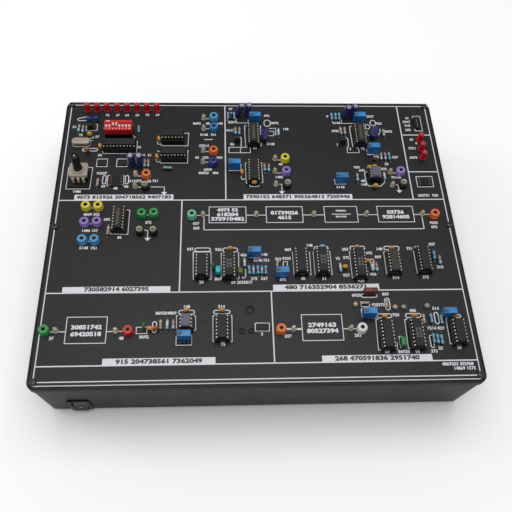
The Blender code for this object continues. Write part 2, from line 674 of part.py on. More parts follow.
def add_disc(shape, place, axis):
    """A dipped drop capacitor standing on edge, turned about the given axis on to it."""
    seat = spot(place, PANEL_TOP_Z + DISC_RADIUS - SINK)
    frame = Matrix.Translation(seat) @ Matrix.Rotation(math.pi / 2, 4, axis)
    half = DISC_THICKNESS / 2
    edge = DISC_RADIUS * DISC_EDGE_SHARE
    turned(shape, ((edge, -half), (DISC_RADIUS, 0), (edge, half)), TINY, frame, 0.5)


def add_can(shape, frame, radius, start=-SINK):
    """An electrolytic can, bevelled at its end, from the given start up the frame's Z axis."""
    turned(shape, ((radius, start), (radius, CAN_HEIGHT - CAN_BEVEL), (radius - CAN_BEVEL, CAN_HEIGHT)),
           SMALL, frame, 0.5)


def leaning(x_share, y_share, lean_share):
    """Frame on the panel whose Z axis leans to the right by a share of the height."""
    slant = Matrix.Identity(4)
    slant[0][2] = lean_share
    return Matrix.Translation(spot((x_share, y_share))) @ slant


def lying(x_share, y_share, degrees):
    """Frame of a can that lies on the panel with its middle at the place and its end to the back."""
    return Matrix.Translation(spot((x_share, y_share), PANEL_TOP_Z + CAN_RADIUS - SINK)) \
        @ Matrix.Rotation(math.radians(degrees), 4, 'Z') @ Matrix.Rotation(-math.pi / 2, 4, 'X') \
        @ Matrix.Translation((0, 0, -CAN_HEIGHT / 2))


def panel_parts():
    """Everything soldered to the panel, as one tool of closed pieces that sink into it."""
    shape = bmesh.new()
    for x_share, y_share, pins, across in CHIP_PLACE_SHARES:
        add_chip(shape, (x_share, y_share), pins, across)
    for x_share, y_share, pins in EMPTY_PLACE_SHARES:
        add_chip(shape, (x_share, y_share), pins, False, seated=False)
    centred_block(shape, spot(SLIDE_PLACE_SHARE), SLIDE_WIDTH, CHIP_SOCKET_WIDTH,
                  PANEL_TOP_Z - SINK, PANEL_TOP_Z + CHIP_SOCKET_HEIGHT)
    for place in TRIMMER_PLACE_SHARES:
        centred_block(shape, spot(place), TRIMMER_WIDTH, TRIMMER_DEPTH, PANEL_TOP_Z - SINK,
                      PANEL_TOP_Z + TRIMMER_HEIGHT)
    lamps = [(DATA_LAMP_START_SHARE + i * DATA_LAMP_STEP_SHARE, DATA_LAMP_DEPTH_SHARE)
             for i in range(DATA_LAMPS)] + list(POWER_LAMP_PLACE_SHARES)
    dome_base = LAMP_HEIGHT - LAMP_RADIUS / 2
    for place in lamps:
        turned(shape, ((LAMP_FLANGE_RADIUS, -SINK), (LAMP_FLANGE_RADIUS, LAMP_FLANGE_HEIGHT),
                       (LAMP_RADIUS, LAMP_FLANGE_HEIGHT), (LAMP_RADIUS, dome_base),
                       (LAMP_RADIUS * LAMP_CROWN_SHARE, LAMP_HEIGHT)), SMALL, Matrix.Translation(spot(place)))
    for place in GROUND_PLACE_SHARES:
        turned(shape, ((GROUND_BASE_RADIUS, -SINK), (GROUND_BASE_RADIUS, GROUND_BASE_HEIGHT),
                       (GROUND_CAP_RADIUS, GROUND_BASE_HEIGHT),
                       (GROUND_CAP_RADIUS, GROUND_HEIGHT - GROUND_DISH),
                       (SOCKET_BORE, GROUND_HEIGHT)), SMALL, Matrix.Translation(spot(place)))
    for place in POST_PLACE_SHARES:
        turned(shape, ((POST_FLANGE_RADIUS, -SINK), (POST_FLANGE_RADIUS, POST_FLANGE_HEIGHT),
                       (POST_HEAD_RADIUS, POST_HEIGHT - POST_FLANGE_HEIGHT),
                       (POST_CROWN_RADIUS, POST_HEIGHT)), TINY, Matrix.Translation(spot(place)))
    for place in RESISTOR_PLACE_SHARES:
        add_resistor(shape, place)
    for place in CROSS_RESISTOR_PLACE_SHARES:
        add_resistor(shape, place, across=True)
    for place in DOME_POST_PLACE_SHARES:
        turned(shape, ((DOME_POST_RADIUS, -SINK), (DOME_POST_RADIUS, POST_FLANGE_HEIGHT),
                       (POST_CROWN_RADIUS, DOME_POST_HEIGHT)), SMALL, Matrix.Translation(spot(place)))
    for place in DISC_PLACE_SHARES:
        add_disc(shape, place, 'X')
    for place in EDGE_DISC_PLACE_SHARES:
        add_disc(shape, place, 'Y')
    for place in CAN_PLACE_SHARES:
        add_can(shape, leaning(*place), CAN_RADIUS)
    for place in BIG_CAN_PLACE_SHARES:
        add_can(shape, leaning(*place), BIG_CAN_RADIUS)
    for place in LYING_CAN_PLACE_SHARES:
        add_can(shape, lying(*place), CAN_RADIUS, 0.0)
    crystal = Matrix.Translation(spot(CRYSTAL_PLACE_SHARE))
    can_outline = rounded_ring(CRYSTAL_LENGTH, CRYSTAL_WIDTH, CRYSTAL_CORNER, 2)
    cap_outline = rounded_ring(CRYSTAL_LENGTH - 2 * CRYSTAL_SHOULDER, CRYSTAL_WIDTH - 2 * CRYSTAL_SHOULDER,
                               CRYSTAL_CORNER - CRYSTAL_SHOULDER, 2)
    loft(shape, [placed(can_outline, -SINK, crystal),
                 placed(can_outline, CRYSTAL_HEIGHT - CRYSTAL_SHOULDER, crystal),
                 placed(cap_outline, CRYSTAL_HEIGHT, crystal)])
    centred_block(shape, spot(HEADER_PLACE_SHARE), HEADER_WIDTH, HEADER_LENGTH, PANEL_TOP_Z - SINK,
                  PANEL_TOP_Z + HEADER_HEIGHT)
    for place in PLATE_PART_PLACE_SHARES:
        centred_block(shape, spot(place), PLATE_PART_WIDTH, PLATE_PART_DEPTH, PANEL_TOP_Z - SINK,
                      PANEL_TOP_Z + PLATE_PART_HEIGHT)
    for place, quarter, share in zip(FILM_PLACE_SHARES, FILM_TURNS, FILM_SIZE_SHARES):
        plan = (FILM_WIDTH * share, FILM_DEPTH)
        centred_block(shape, spot(place), plan[quarter], plan[1 - quarter], PANEL_TOP_Z - SINK,
                      PANEL_TOP_Z + FILM_HEIGHT)
    turned_ring(shape, ((RING_RADIUS, -SINK), (RING_RADIUS, RING_HEIGHT / 2),
                        (RING_BORE + LEAST_CORNER, RING_HEIGHT), (RING_BORE, RING_HEIGHT / 2),
                        (RING_BORE, -SINK)), ROUND,
                Matrix.Translation(spot(RING_PLACE_SHARE)))
    for places, radius in ((BUTTON_PLACE_SHARES, BUTTON_RADIUS), (DIMPLE_PLACE_SHARES, DIMPLE_RADIUS)):
        for place in places:
            turned(shape, ((radius, -SINK), (radius, BUTTON_HEIGHT / 2), (radius / 2, BUTTON_HEIGHT)), SMALL,
                   Matrix.Translation(spot(place)))
    for place in TO_PLACE_SHARES:
        centred_block(shape, spot(place), TO_WIDTH, TO_DEPTH, PANEL_TOP_Z - SINK, PANEL_TOP_Z + TO_HEIGHT)
    centred_block(shape, spot(POT_PLACE_SHARE), POT_WIDTH - 2 * POT_BASE_INSET,
                  POT_DEPTH - 2 * POT_BASE_INSET, PANEL_TOP_Z - SINK,
                  PANEL_TOP_Z + POT_BASE_HEIGHT - POT_LIFT)
    return add_object("panel_parts", shape)


def build_panel(material):
    """The panel with what is soldered to it, and its holes for screws, socket stems and trimmer screws."""
    shape = bmesh.new()
    outline = rounded_ring(PANEL_WIDTH, PANEL_DEPTH, PANEL_CORNER)
    centre = Matrix.Translation((0, CASE_CENTRE_Y, 0))
    loft(shape, [placed(outline, PANEL_BOTTOM_Z, centre), placed(outline, PANEL_TOP_Z, centre)])
    panel = add_object("circuit_panel", shape, material)
    boolean(panel, panel_parts(), 'UNION', own_crossings=True)
    cuts = bmesh.new()
    for place in SCREW_PLACE_SHARES.values():
        turned(cuts, ((SCREW_SHANK_RADIUS + SCREW_CLEARANCE, PANEL_BOTTOM_Z - OVERRUN),
                      (SCREW_SHANK_RADIUS + SCREW_CLEARANCE, PANEL_TOP_Z + OVERRUN)), SMALL,
               Matrix.Translation(spot(place, 0)))
    for place in PATCH_SOCKET_PLACE_SHARES.values():
        turned(cuts, ((SOCKET_STEM_RADIUS + STEM_CLEARANCE, PANEL_BOTTOM_Z - OVERRUN),
                      (SOCKET_STEM_RADIUS + STEM_CLEARANCE, PANEL_TOP_Z + OVERRUN)), TINY,
               Matrix.Translation(spot(place, 0)))
    for centre in trimmer_screw_centres():
        turned(cuts, ((TRIMMER_SCREW_RADIUS + TRIMMER_SCREW_CLEARANCE, -TRIMMER_SCREW_LENGTH - SEAT_GAP),
                      (TRIMMER_SCREW_RADIUS + TRIMMER_SCREW_CLEARANCE, OVERRUN)), SMALL,
               Matrix.Translation(centre))
    boolean(panel, add_object("panel_cuts", cuts), 'DIFFERENCE')
    return panel


def trimmer_screw_centres():
    """Where each trimmer's adjusting screw meets the trimmer's top face."""
    offset = Vector((TRIMMER_SCREW_INSET - TRIMMER_WIDTH / 2, 0, 0))
    return [spot(place, PANEL_TOP_Z + TRIMMER_HEIGHT) + offset for place in TRIMMER_PLACE_SHARES]


def build_patch_sockets(finishes):
    """The colour-coded sockets: a barrel with a rounded shoulder, a bore and a stem in the panel."""
    for name, place in PATCH_SOCKET_PLACE_SHARES.items():
        shape = bmesh.new()
        turned_ring(shape, (
            (SOCKET_BORE, -SOCKET_STEM), (SOCKET_STEM_RADIUS, -SOCKET_STEM), (SOCKET_STEM_RADIUS, SEAT_GAP),
            (SOCKET_RADIUS, SEAT_GAP), (SOCKET_TOP_RADIUS, SOCKET_HEIGHT - SOCKET_ROUND),
            (SOCKET_TOP_RADIUS - SOCKET_ROUND, SOCKET_HEIGHT), (SOCKET_BORE, SOCKET_HEIGHT)),
            SMALL, Matrix.Identity(4))
        socket = add_object(name, shape, finishes[name], smooth=True)
        socket.location = spot(place)


def build_screws(material):
    """Pan-head panel screws."""
    for name, place in SCREW_PLACE_SHARES.items():
        shape = bmesh.new()
        turned(shape, (
            (SCREW_SHANK_RADIUS / 2, -SCREW_LENGTH), (SCREW_SHANK_RADIUS, SCREW_POINT - SCREW_LENGTH),
            (SCREW_SHANK_RADIUS, SEAT_GAP), (SCREW_HEAD_RADIUS, SEAT_GAP),
            (SCREW_HEAD_RADIUS, SCREW_HEAD_HEIGHT / 2),
            (SCREW_HEAD_RADIUS * HEAD_CROWN_SHARE, SCREW_HEAD_HEIGHT)), SMALL, Matrix.Identity(4))
        screw = add_object(name, shape, material, smooth=True)
        screw.location = spot(place)


def build_feet(material):
    """Rubber feet in their recesses."""
    names = ("foot_front_left", "foot_front_right", "foot_back_left", "foot_back_right")
    for name, centre in zip(names, foot_centres()):
        shape = bmesh.new()
        turned(shape, ((FOOT_RADIUS - FOOT_TAPER, 0), (FOOT_RADIUS, FOOT_TAPER),
                       (FOOT_RADIUS, FOOT_STAND + FOOT_RECESS - SEAT_GAP)), MIDDLE, Matrix.Identity(4))
        foot = add_object(name, shape, material, smooth=True)
        foot.location = centre


def build_power_switch(housing_finish, rocker_finish):
    """The rocker switch: a bezel and housing through the front wall, and its rocker on a pivot."""
    frame = switch_frame()
    shape = bmesh.new()
    block(shape, (-BEZEL_WIDTH / 2, -BEZEL_HEIGHT / 2, SEAT_GAP),
          (BEZEL_WIDTH / 2, BEZEL_HEIGHT / 2, BEZEL_THICKNESS))
    housing = add_object("switch_housing", shape, housing_finish)
    bevel = housing.modifiers.new("edge", 'BEVEL')
    bevel.width = BEZEL_EDGE
    bevel.segments = 1
    body = bmesh.new()
    block(body, (-SWITCH_WIDTH / 2, -SWITCH_HEIGHT / 2, -SWITCH_DEPTH),
          (SWITCH_WIDTH / 2, SWITCH_HEIGHT / 2, SEAT_GAP + SINK))
    boolean(housing, parented(add_object("switch_body_tool", body), frame), 'UNION')
    tabs = bmesh.new()
    for side in (-1, 0, 1):
        block(tabs, (-SWITCH_TAB_WIDTH / 2, side * SWITCH_HEIGHT / 3 - SWITCH_TAB_THICKNESS / 2,
                     -SWITCH_DEPTH - SWITCH_TAB_LENGTH),
              (SWITCH_TAB_WIDTH / 2, side * SWITCH_HEIGHT / 3 + SWITCH_TAB_THICKNESS / 2, SINK - SWITCH_DEPTH))
    boolean(housing, parented(add_object("switch_tab_tool", tabs), frame), 'UNION')
    well = bmesh.new()
    sweep = ROCKER_REACH + SWITCH_FIT
    block(well, (-ROCKER_WIDTH / 2 - SWITCH_FIT, -sweep, ROCKER_FLOOR_OUT),
          (ROCKER_WIDTH / 2 + SWITCH_FIT, sweep, BEZEL_THICKNESS + OVERRUN))
    boolean(housing, parented(add_object("switch_well_tool", well), frame), 'DIFFERENCE')
    housing.matrix_world = frame

    shape = bmesh.new()
    crown_z = ROCKER_REACH * math.sin(ROCKER_CROWN)
    end_angles = (ROCKER_CROWN, (ROCKER_CROWN - ROCKER_SKIRT) / 2, -ROCKER_SKIRT)
    half = [(0.0, crown_z - ROCKER_SAG), (ROCKER_REACH / 2, crown_z - ROCKER_SAG / 2)]
    half += [(ROCKER_REACH * math.cos(angle), ROCKER_REACH * math.sin(angle)) for angle in end_angles]
    section = half + [(-y, z) for y, z in reversed(half) if y > 0]
    loft(shape, [[Vector((x, y, z)) for y, z in section] for x in (-ROCKER_WIDTH / 2, ROCKER_WIDTH / 2)])
    rocker = add_object("switch_rocker", shape, rocker_finish)
    pivot = bpy.data.objects.new("rocker_pivot", None)
    bpy.context.scene.collection.objects.link(pivot)
    pivot.matrix_world = frame @ Matrix.Translation((0, 0, ROCKER_PIVOT_OUT))
    rocker.parent = pivot
    rocker.rotation_euler = (-ROCKER_TILT, 0, 0)


def parented(item, matrix):
    """Places a tool by a matrix and returns it."""
    item.matrix_world = matrix
    return item


def build_inlet(material):
    """The power inlet: a flanged shell with a recess and three flat pins."""
    frame = inlet_frame()
    shape = bmesh.new()
    body = inlet_outline(INLET_WIDTH, INLET_HEIGHT, INLET_CHAMFER)
    flange = inlet_outline(INLET_FLANGE_WIDTH, INLET_FLANGE_HEIGHT, INLET_CHAMFER)
    recess = inlet_outline(INLET_WIDTH - 2 * INLET_WALL, INLET_HEIGHT - 2 * INLET_WALL,
                           INLET_CHAMFER - INLET_WALL / 2)
    loft(shape, [placed(body, -INLET_DEPTH), placed(body, SEAT_GAP), placed(flange, SEAT_GAP),
                 placed(flange, INLET_FLANGE_THICKNESS), placed(recess, INLET_FLANGE_THICKNESS),
                 placed(recess, INLET_BACK - INLET_DEPTH)])
    inlet = add_object("power_inlet", shape, material)
    pins = bmesh.new()
    floor = INLET_BACK - INLET_DEPTH
    for across, up in ((-PIN_SPREAD, -PIN_OFFSET), (0, PIN_OFFSET), (PIN_SPREAD, -PIN_OFFSET)):
        block(pins, (across - PIN_WIDTH / 2, up - PIN_HEIGHT / 2, floor - SINK),
              (across + PIN_WIDTH / 2, up + PIN_HEIGHT / 2, floor + PIN_LENGTH))
    boolean(inlet, parented(add_object("inlet_pin_tool", pins), frame), 'UNION')
    inlet.matrix_world = frame


def build_supply(material):
    """The mains supply: board on four pillars, with transformer and smoothing capacitors."""
    centre = Vector((-FIELD_WIDTH / 2 + SUPPLY_FROM_FIELD + SUPPLY_WIDTH / 2, CASE_CENTRE_Y,
                     FLOOR_TOP_Z + SEAT_GAP))
    board_low = SUPPLY_PILLAR_HEIGHT
    board_high = board_low + SUPPLY_BOARD
    shape = bmesh.new()
    block(shape, (-SUPPLY_WIDTH / 2, -SUPPLY_DEPTH / 2, board_low),
          (SUPPLY_WIDTH / 2, SUPPLY_DEPTH / 2, board_high))
    supply = add_object("power_supply", shape, material)
    supply.location = centre
    parts = bmesh.new()
    for side_x in (-1, 1):
        for side_y in (-1, 1):
            corner = Vector((side_x * (SUPPLY_WIDTH / 2 - SUPPLY_PILLAR_INSET),
                             side_y * (SUPPLY_DEPTH / 2 - SUPPLY_PILLAR_INSET), 0))
            turned(parts, ((SUPPLY_PILLAR_RADIUS, 0), (SUPPLY_PILLAR_RADIUS, board_low + SINK)), SMALL,
                   Matrix.Translation(corner))
    core_x = -SUPPLY_WIDTH / 2 + CORE_WIDTH / 2 + SUPPLY_PILLAR_INSET
    block(parts, (core_x - CORE_WIDTH / 2, -CORE_DEPTH / 2, board_high - SINK),
          (core_x + CORE_WIDTH / 2, CORE_DEPTH / 2, board_high + CORE_HEIGHT))
    bobbin_low = board_high + (CORE_HEIGHT - BOBBIN_HEIGHT) / 2
    block(parts, (core_x - BOBBIN_WIDTH / 2, -BOBBIN_DEPTH / 2, bobbin_low),
          (core_x + BOBBIN_WIDTH / 2, BOBBIN_DEPTH / 2, bobbin_low + BOBBIN_HEIGHT))
    can_x = core_x + CORE_WIDTH / 2 + SMOOTHING_PITCH
    for side in (-1, 1):
        turned(parts, ((SMOOTHING_RADIUS, board_high - SINK), (SMOOTHING_RADIUS, board_high + SMOOTHING_HEIGHT)),
               ROUND, Matrix.Translation((can_x, side * SMOOTHING_PITCH / 2, 0)))
    tool = add_object("supply_tool", parts)
    tool.location = centre
    boolean(supply, tool, 'UNION', own_crossings=True)


def slider_offsets():
    """Each slider's place across the switch and its rest offset towards the back."""
    first = -(SLIDERS - 1) / 2 * PIN_PITCH
    return [(first + i * PIN_PITCH, SLIDER_TRAVEL / 2 if i + 1 in SLIDERS_BACK else -SLIDER_TRAVEL / 2)
            for i in range(SLIDERS)]


def build_slide_switch(body_finish, slider_finish):
    """The eight-way slide switch: slotted body on a chip socket, and its eight sliders."""
    low_z = PANEL_TOP_Z + CHIP_SOCKET_HEIGHT + SEAT_GAP
    top_z = low_z + SLIDE_HEIGHT
    centre = spot(SLIDE_PLACE_SHARE, 0)
    shape = bmesh.new()
    centred_block(shape, centre, SLIDE_WIDTH, SLIDE_DEPTH, low_z, top_z)
    body = add_object("slide_switch_body", shape, body_finish)
    slots = bmesh.new()
    for across, _ in slider_offsets():
        centred_block(slots, centre + Vector((across, 0, 0)), SLIDE_SLOT_WIDTH, SLIDE_SLOT_LENGTH,
                      top_z - SLIDE_SLOT_DEPTH, top_z + OVERRUN)
    boolean(body, add_object("slide_slot_tool", slots), 'DIFFERENCE')
    for number, (across, along) in enumerate(slider_offsets(), start=1):
        shape = bmesh.new()
        half = SLIDER_LENGTH / 2
        foot = SLIDER_FLOAT - SLIDE_SLOT_DEPTH
        nub = SLIDER_NUB / 2
        side = [(-half, foot), (half, foot), (half, -SLIDER_FLOAT), (nub, SLIDER_PROUD), (-nub, SLIDER_PROUD),
                (-half, -SLIDER_FLOAT)]
        loft(shape, [[Vector((x, y, z)) for y, z in side] for x in (-SLIDER_WIDTH / 2, SLIDER_WIDTH / 2)])
        slider = add_object(f"slider_{number}", shape, slider_finish)
        slider.location = centre + Vector((across, along, top_z))


def build_trimmer_screws(material):
    """The trimmers' slotted adjusting screws."""
    for number, centre in enumerate(trimmer_screw_centres(), start=1):
        shape = bmesh.new()
        turned(shape, ((TRIMMER_SCREW_RADIUS, -TRIMMER_SCREW_LENGTH), (TRIMMER_SCREW_RADIUS, TRIMMER_SCREW_PROUD)),
               SMALL, Matrix.Identity(4))
        screw = add_object(f"trimmer_screw_{number}", shape, material, smooth=True)
        screw.location = centre
        slot = bmesh.new()
        block(slot, (-TRIMMER_SCREW_RADIUS * 2, -TRIMMER_SLOT_WIDTH / 2, TRIMMER_SCREW_PROUD - TRIMMER_SLOT_DEPTH),
              (TRIMMER_SCREW_RADIUS * 2, TRIMMER_SLOT_WIDTH / 2, TRIMMER_SCREW_PROUD + OVERRUN))
        tool = parented(add_object(f"trimmer_slot_{number}", slot), Matrix.Translation(centre))
        boolean(screw, tool, 'DIFFERENCE')


def build_pot(body_finish, shaft_finish):
    """The rotary potentiometer: housing with collar and lugs, and its turning shaft."""
    low_z = PANEL_TOP_Z + POT_BASE_HEIGHT
    top_z = low_z + POT_HEIGHT
    frame = Matrix.Translation(spot(POT_PLACE_SHARE, low_z))
    shape = bmesh.new()
    outline = rounded_ring(POT_WIDTH, POT_DEPTH, POT_CORNER, 2)
    loft(shape, [placed(outline, 0), placed(outline, POT_HEIGHT)])
    body = add_object("pot_body", shape, body_finish)
    body.matrix_world = frame
    extra = bmesh.new()
    turned(extra, ((POT_COLLAR_RADIUS, POT_HEIGHT - SINK),
                   (POT_COLLAR_RADIUS, POT_HEIGHT + POT_COLLAR_HEIGHT)), ROUND, Matrix.Identity(4))
    front = -POT_DEPTH / 2
    for side in (-1, 0, 1):
        left = side * POT_LUG_PITCH - POT_LUG_WIDTH / 2
        bend = [(front + SINK, SINK), (front + SINK, SINK + POT_LUG_THICKNESS),
                (front - POT_LUG_REACH, SINK + POT_LUG_THICKNESS), (front - POT_LUG_REACH, -POT_LUG_DROP),
                (front - POT_LUG_REACH + POT_LUG_THICKNESS, -POT_LUG_DROP),
                (front - POT_LUG_REACH + POT_LUG_THICKNESS, SINK)]
        loft(extra, [[Vector((x, y, z)) for y, z in bend] for x in (left, left + POT_LUG_WIDTH)])
    boolean(body, parented(add_object("pot_extra_tool", extra), frame), 'UNION')
    bore = bmesh.new()
    bore_floor = POT_HEIGHT + POT_COLLAR_HEIGHT - POT_SHAFT_DEPTH - SEAT_GAP
    turned(bore, ((POT_SHAFT_RADIUS + POT_BORE_CLEARANCE, bore_floor),
                  (POT_SHAFT_RADIUS + POT_BORE_CLEARANCE, POT_HEIGHT + POT_COLLAR_HEIGHT + OVERRUN)),
           ROUND, Matrix.Identity(4))
    boolean(body, parented(add_object("pot_bore_tool", bore), frame), 'DIFFERENCE')

    shape = bmesh.new()
    turned(shape, ((POT_SHAFT_RADIUS, -POT_SHAFT_DEPTH), (POT_SHAFT_RADIUS, SEAT_GAP),
                   (POT_KNOB_RADIUS, SEAT_GAP), (POT_KNOB_TOP_RADIUS, POT_SHAFT_HEIGHT - POT_INDEX_DEPTH),
                   (POT_KNOB_TOP_RADIUS - POT_INDEX_DEPTH, POT_SHAFT_HEIGHT)), ROUND, Matrix.Identity(4))
    shaft = add_object("pot_shaft", shape, shaft_finish, smooth=True)
    shaft.location = spot(POT_PLACE_SHARE, top_z + POT_COLLAR_HEIGHT)
    index = bmesh.new()
    block(index, (-POT_INDEX_WIDTH / 2, 0, POT_SHAFT_HEIGHT - POT_INDEX_DEPTH),
          (POT_INDEX_WIDTH / 2, POT_KNOB_RADIUS * 2, POT_SHAFT_HEIGHT + OVERRUN))
    boolean(shaft, parented(add_object("pot_index_tool", index), Matrix.Translation(shaft.location)), 'DIFFERENCE')


def main():
    """Clears the scene and builds the trainer."""
    for item in list(bpy.data.objects):
        bpy.data.objects.remove(item, do_unlink=True)
    case_black = finish("case_plastic", 0.035, 0.034, 0.037, 0.55)
    panel_black = finish("panel_black", 0.022, 0.022, 0.025, 0.5)
    socket_colours = {
        "sky": (0.09, 0.42, 0.66), "blue": (0.03, 0.22, 0.62), "orange": (0.80, 0.17, 0.02),
        "navy": (0.03, 0.06, 0.35), "amber": (0.85, 0.20, 0.02), "yellow": (0.78, 0.60, 0.02),
        "violet": (0.32, 0.20, 0.62), "lilac": (0.36, 0.25, 0.66), "green": (0.02, 0.35, 0.09),
        "mint": (0.16, 0.52, 0.32), "red": (0.60, 0.02, 0.03), "white": (0.75, 0.75, 0.72),
    }
    paints = {word: finish(f"socket_{word}", *colour, 0.35) for word, colour in socket_colours.items()}
    socket_finishes = {name: paints[name.split("_")[2]] for name in PATCH_SOCKET_PLACE_SHARES}
    build_base(case_black)
    build_rim(case_black)
    build_panel(panel_black)
    build_patch_sockets(socket_finishes)
    build_screws(finish("screw_steel", 0.06, 0.055, 0.05, 0.4, 1.0))
    build_feet(finish("foot_rubber", 0.02, 0.02, 0.02, 0.8))
    build_power_switch(finish("switch_black", 0.012, 0.012, 0.013, 0.4),
                       finish("rocker_black", 0.01, 0.01, 0.011, 0.3))
    build_inlet(finish("inlet_black", 0.015, 0.015, 0.016, 0.45))
    build_supply(finish("supply_board", 0.05, 0.16, 0.06, 0.5))
    build_slide_switch(finish("slide_red", 0.62, 0.02, 0.025, 0.4),
                       finish("slider_white", 0.82, 0.80, 0.76, 0.4))
    build_trimmer_screws(finish("screw_brass", 0.75, 0.55, 0.25, 0.3, 1.0))
    build_pot(finish("pot_ivory", 0.62, 0.55, 0.44, 0.5), finish("pot_black", 0.012, 0.012, 0.012, 0.35))


main()
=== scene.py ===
"""Looks of a digital communication trainer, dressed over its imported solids.

Metres, +Z up, the front at -Y. Places on the panel are shares of the printed field,
counted from its front left corner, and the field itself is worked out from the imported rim.
"""
import json
import logging
import math
from dataclasses import dataclass
from enum import Enum
from typing import Callable

import bmesh
import bpy
from mathutils import Matrix, Vector


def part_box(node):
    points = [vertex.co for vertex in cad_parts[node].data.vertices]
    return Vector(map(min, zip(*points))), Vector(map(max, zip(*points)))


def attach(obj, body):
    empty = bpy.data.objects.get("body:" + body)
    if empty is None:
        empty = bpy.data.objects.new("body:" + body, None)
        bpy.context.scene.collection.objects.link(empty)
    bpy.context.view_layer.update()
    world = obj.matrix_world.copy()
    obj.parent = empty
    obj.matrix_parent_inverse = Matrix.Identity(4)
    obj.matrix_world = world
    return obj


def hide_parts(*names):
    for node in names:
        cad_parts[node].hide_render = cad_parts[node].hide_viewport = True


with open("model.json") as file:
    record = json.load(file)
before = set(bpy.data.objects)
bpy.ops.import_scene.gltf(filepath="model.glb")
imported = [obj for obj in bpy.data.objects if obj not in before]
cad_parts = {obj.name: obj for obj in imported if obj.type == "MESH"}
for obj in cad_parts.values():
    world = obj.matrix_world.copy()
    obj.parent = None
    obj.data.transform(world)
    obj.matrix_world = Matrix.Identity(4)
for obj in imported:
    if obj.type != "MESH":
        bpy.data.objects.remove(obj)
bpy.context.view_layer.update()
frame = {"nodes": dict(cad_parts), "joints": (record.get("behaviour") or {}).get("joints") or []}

log = logging.getLogger("trainer")
MM = 0.001
PIN_PITCH = 2.54
PRINT_RISE = 0.03 * MM
FACING = 0.9
BODY = "trainer"
CORNERS = ("front_left", "front_right", "back_left", "back_right")
Colour = tuple[float, float, float]
Share = tuple[float, float]
Object = bpy.types.Object


def mm(*values: float) -> tuple[float, ...]:
    """Millimetres, as metres."""
    return tuple(value * MM for value in values)


def rings(*pairs: Share) -> list[Share]:
    """A profile's radii and heights in millimetres, as metres."""
    return [mm(*pair) for pair in pairs]


def up(middle: Vector, normal: Vector) -> bool:
    """Whether a face looks up."""
    return normal.z > FACING


def down(middle: Vector, normal: Vector) -> bool:
    """Whether a face looks down."""
    return normal.z < -FACING


def over(node: str, height: float) -> Matrix:
    """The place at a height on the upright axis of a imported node."""
    low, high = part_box(node)
    return Matrix.Translation(((low.x + high.x) / 2, (low.y + high.y) / 2, height))


def arc(radius: float, height: float, degrees: tuple[int, ...], inner: float = 0.0) -> list[Share]:
    """Rings of a rounded profile, about a point at a radius and a height."""
    return [(inner + radius * math.cos(a), height + radius * math.sin(a)) for a in map(math.radians, degrees)]


# Shader building

class Wire:
    """A shader socket that takes part in sums: each operator adds its Math node."""

    def __init__(self, recipe: "Recipe", socket: bpy.types.NodeSocket) -> None:
        """Wraps an output socket of a recipe's tree."""
        self.recipe = recipe
        self.socket = socket

    def _with(self, operation: str, first: "Wire | float", second: "Wire | float") -> "Wire":
        """Adds the Math node of one operator."""
        return self.recipe.node("ShaderNodeMath", {0: first, 1: second}, operation=operation)

    def __add__(self, other: "Wire | float") -> "Wire":
        """Sum."""
        return self._with("ADD", self, other)

    def __sub__(self, other: "Wire | float") -> "Wire":
        """Difference."""
        return self._with("SUBTRACT", self, other)

    def __rsub__(self, other: float) -> "Wire":
        """Difference from a number."""
        return self._with("SUBTRACT", other, self)

    def __mul__(self, other: "Wire | float") -> "Wire":
        """Product."""
        return self._with("MULTIPLY", self, other)

    __radd__ = __add__
    __rmul__ = __mul__


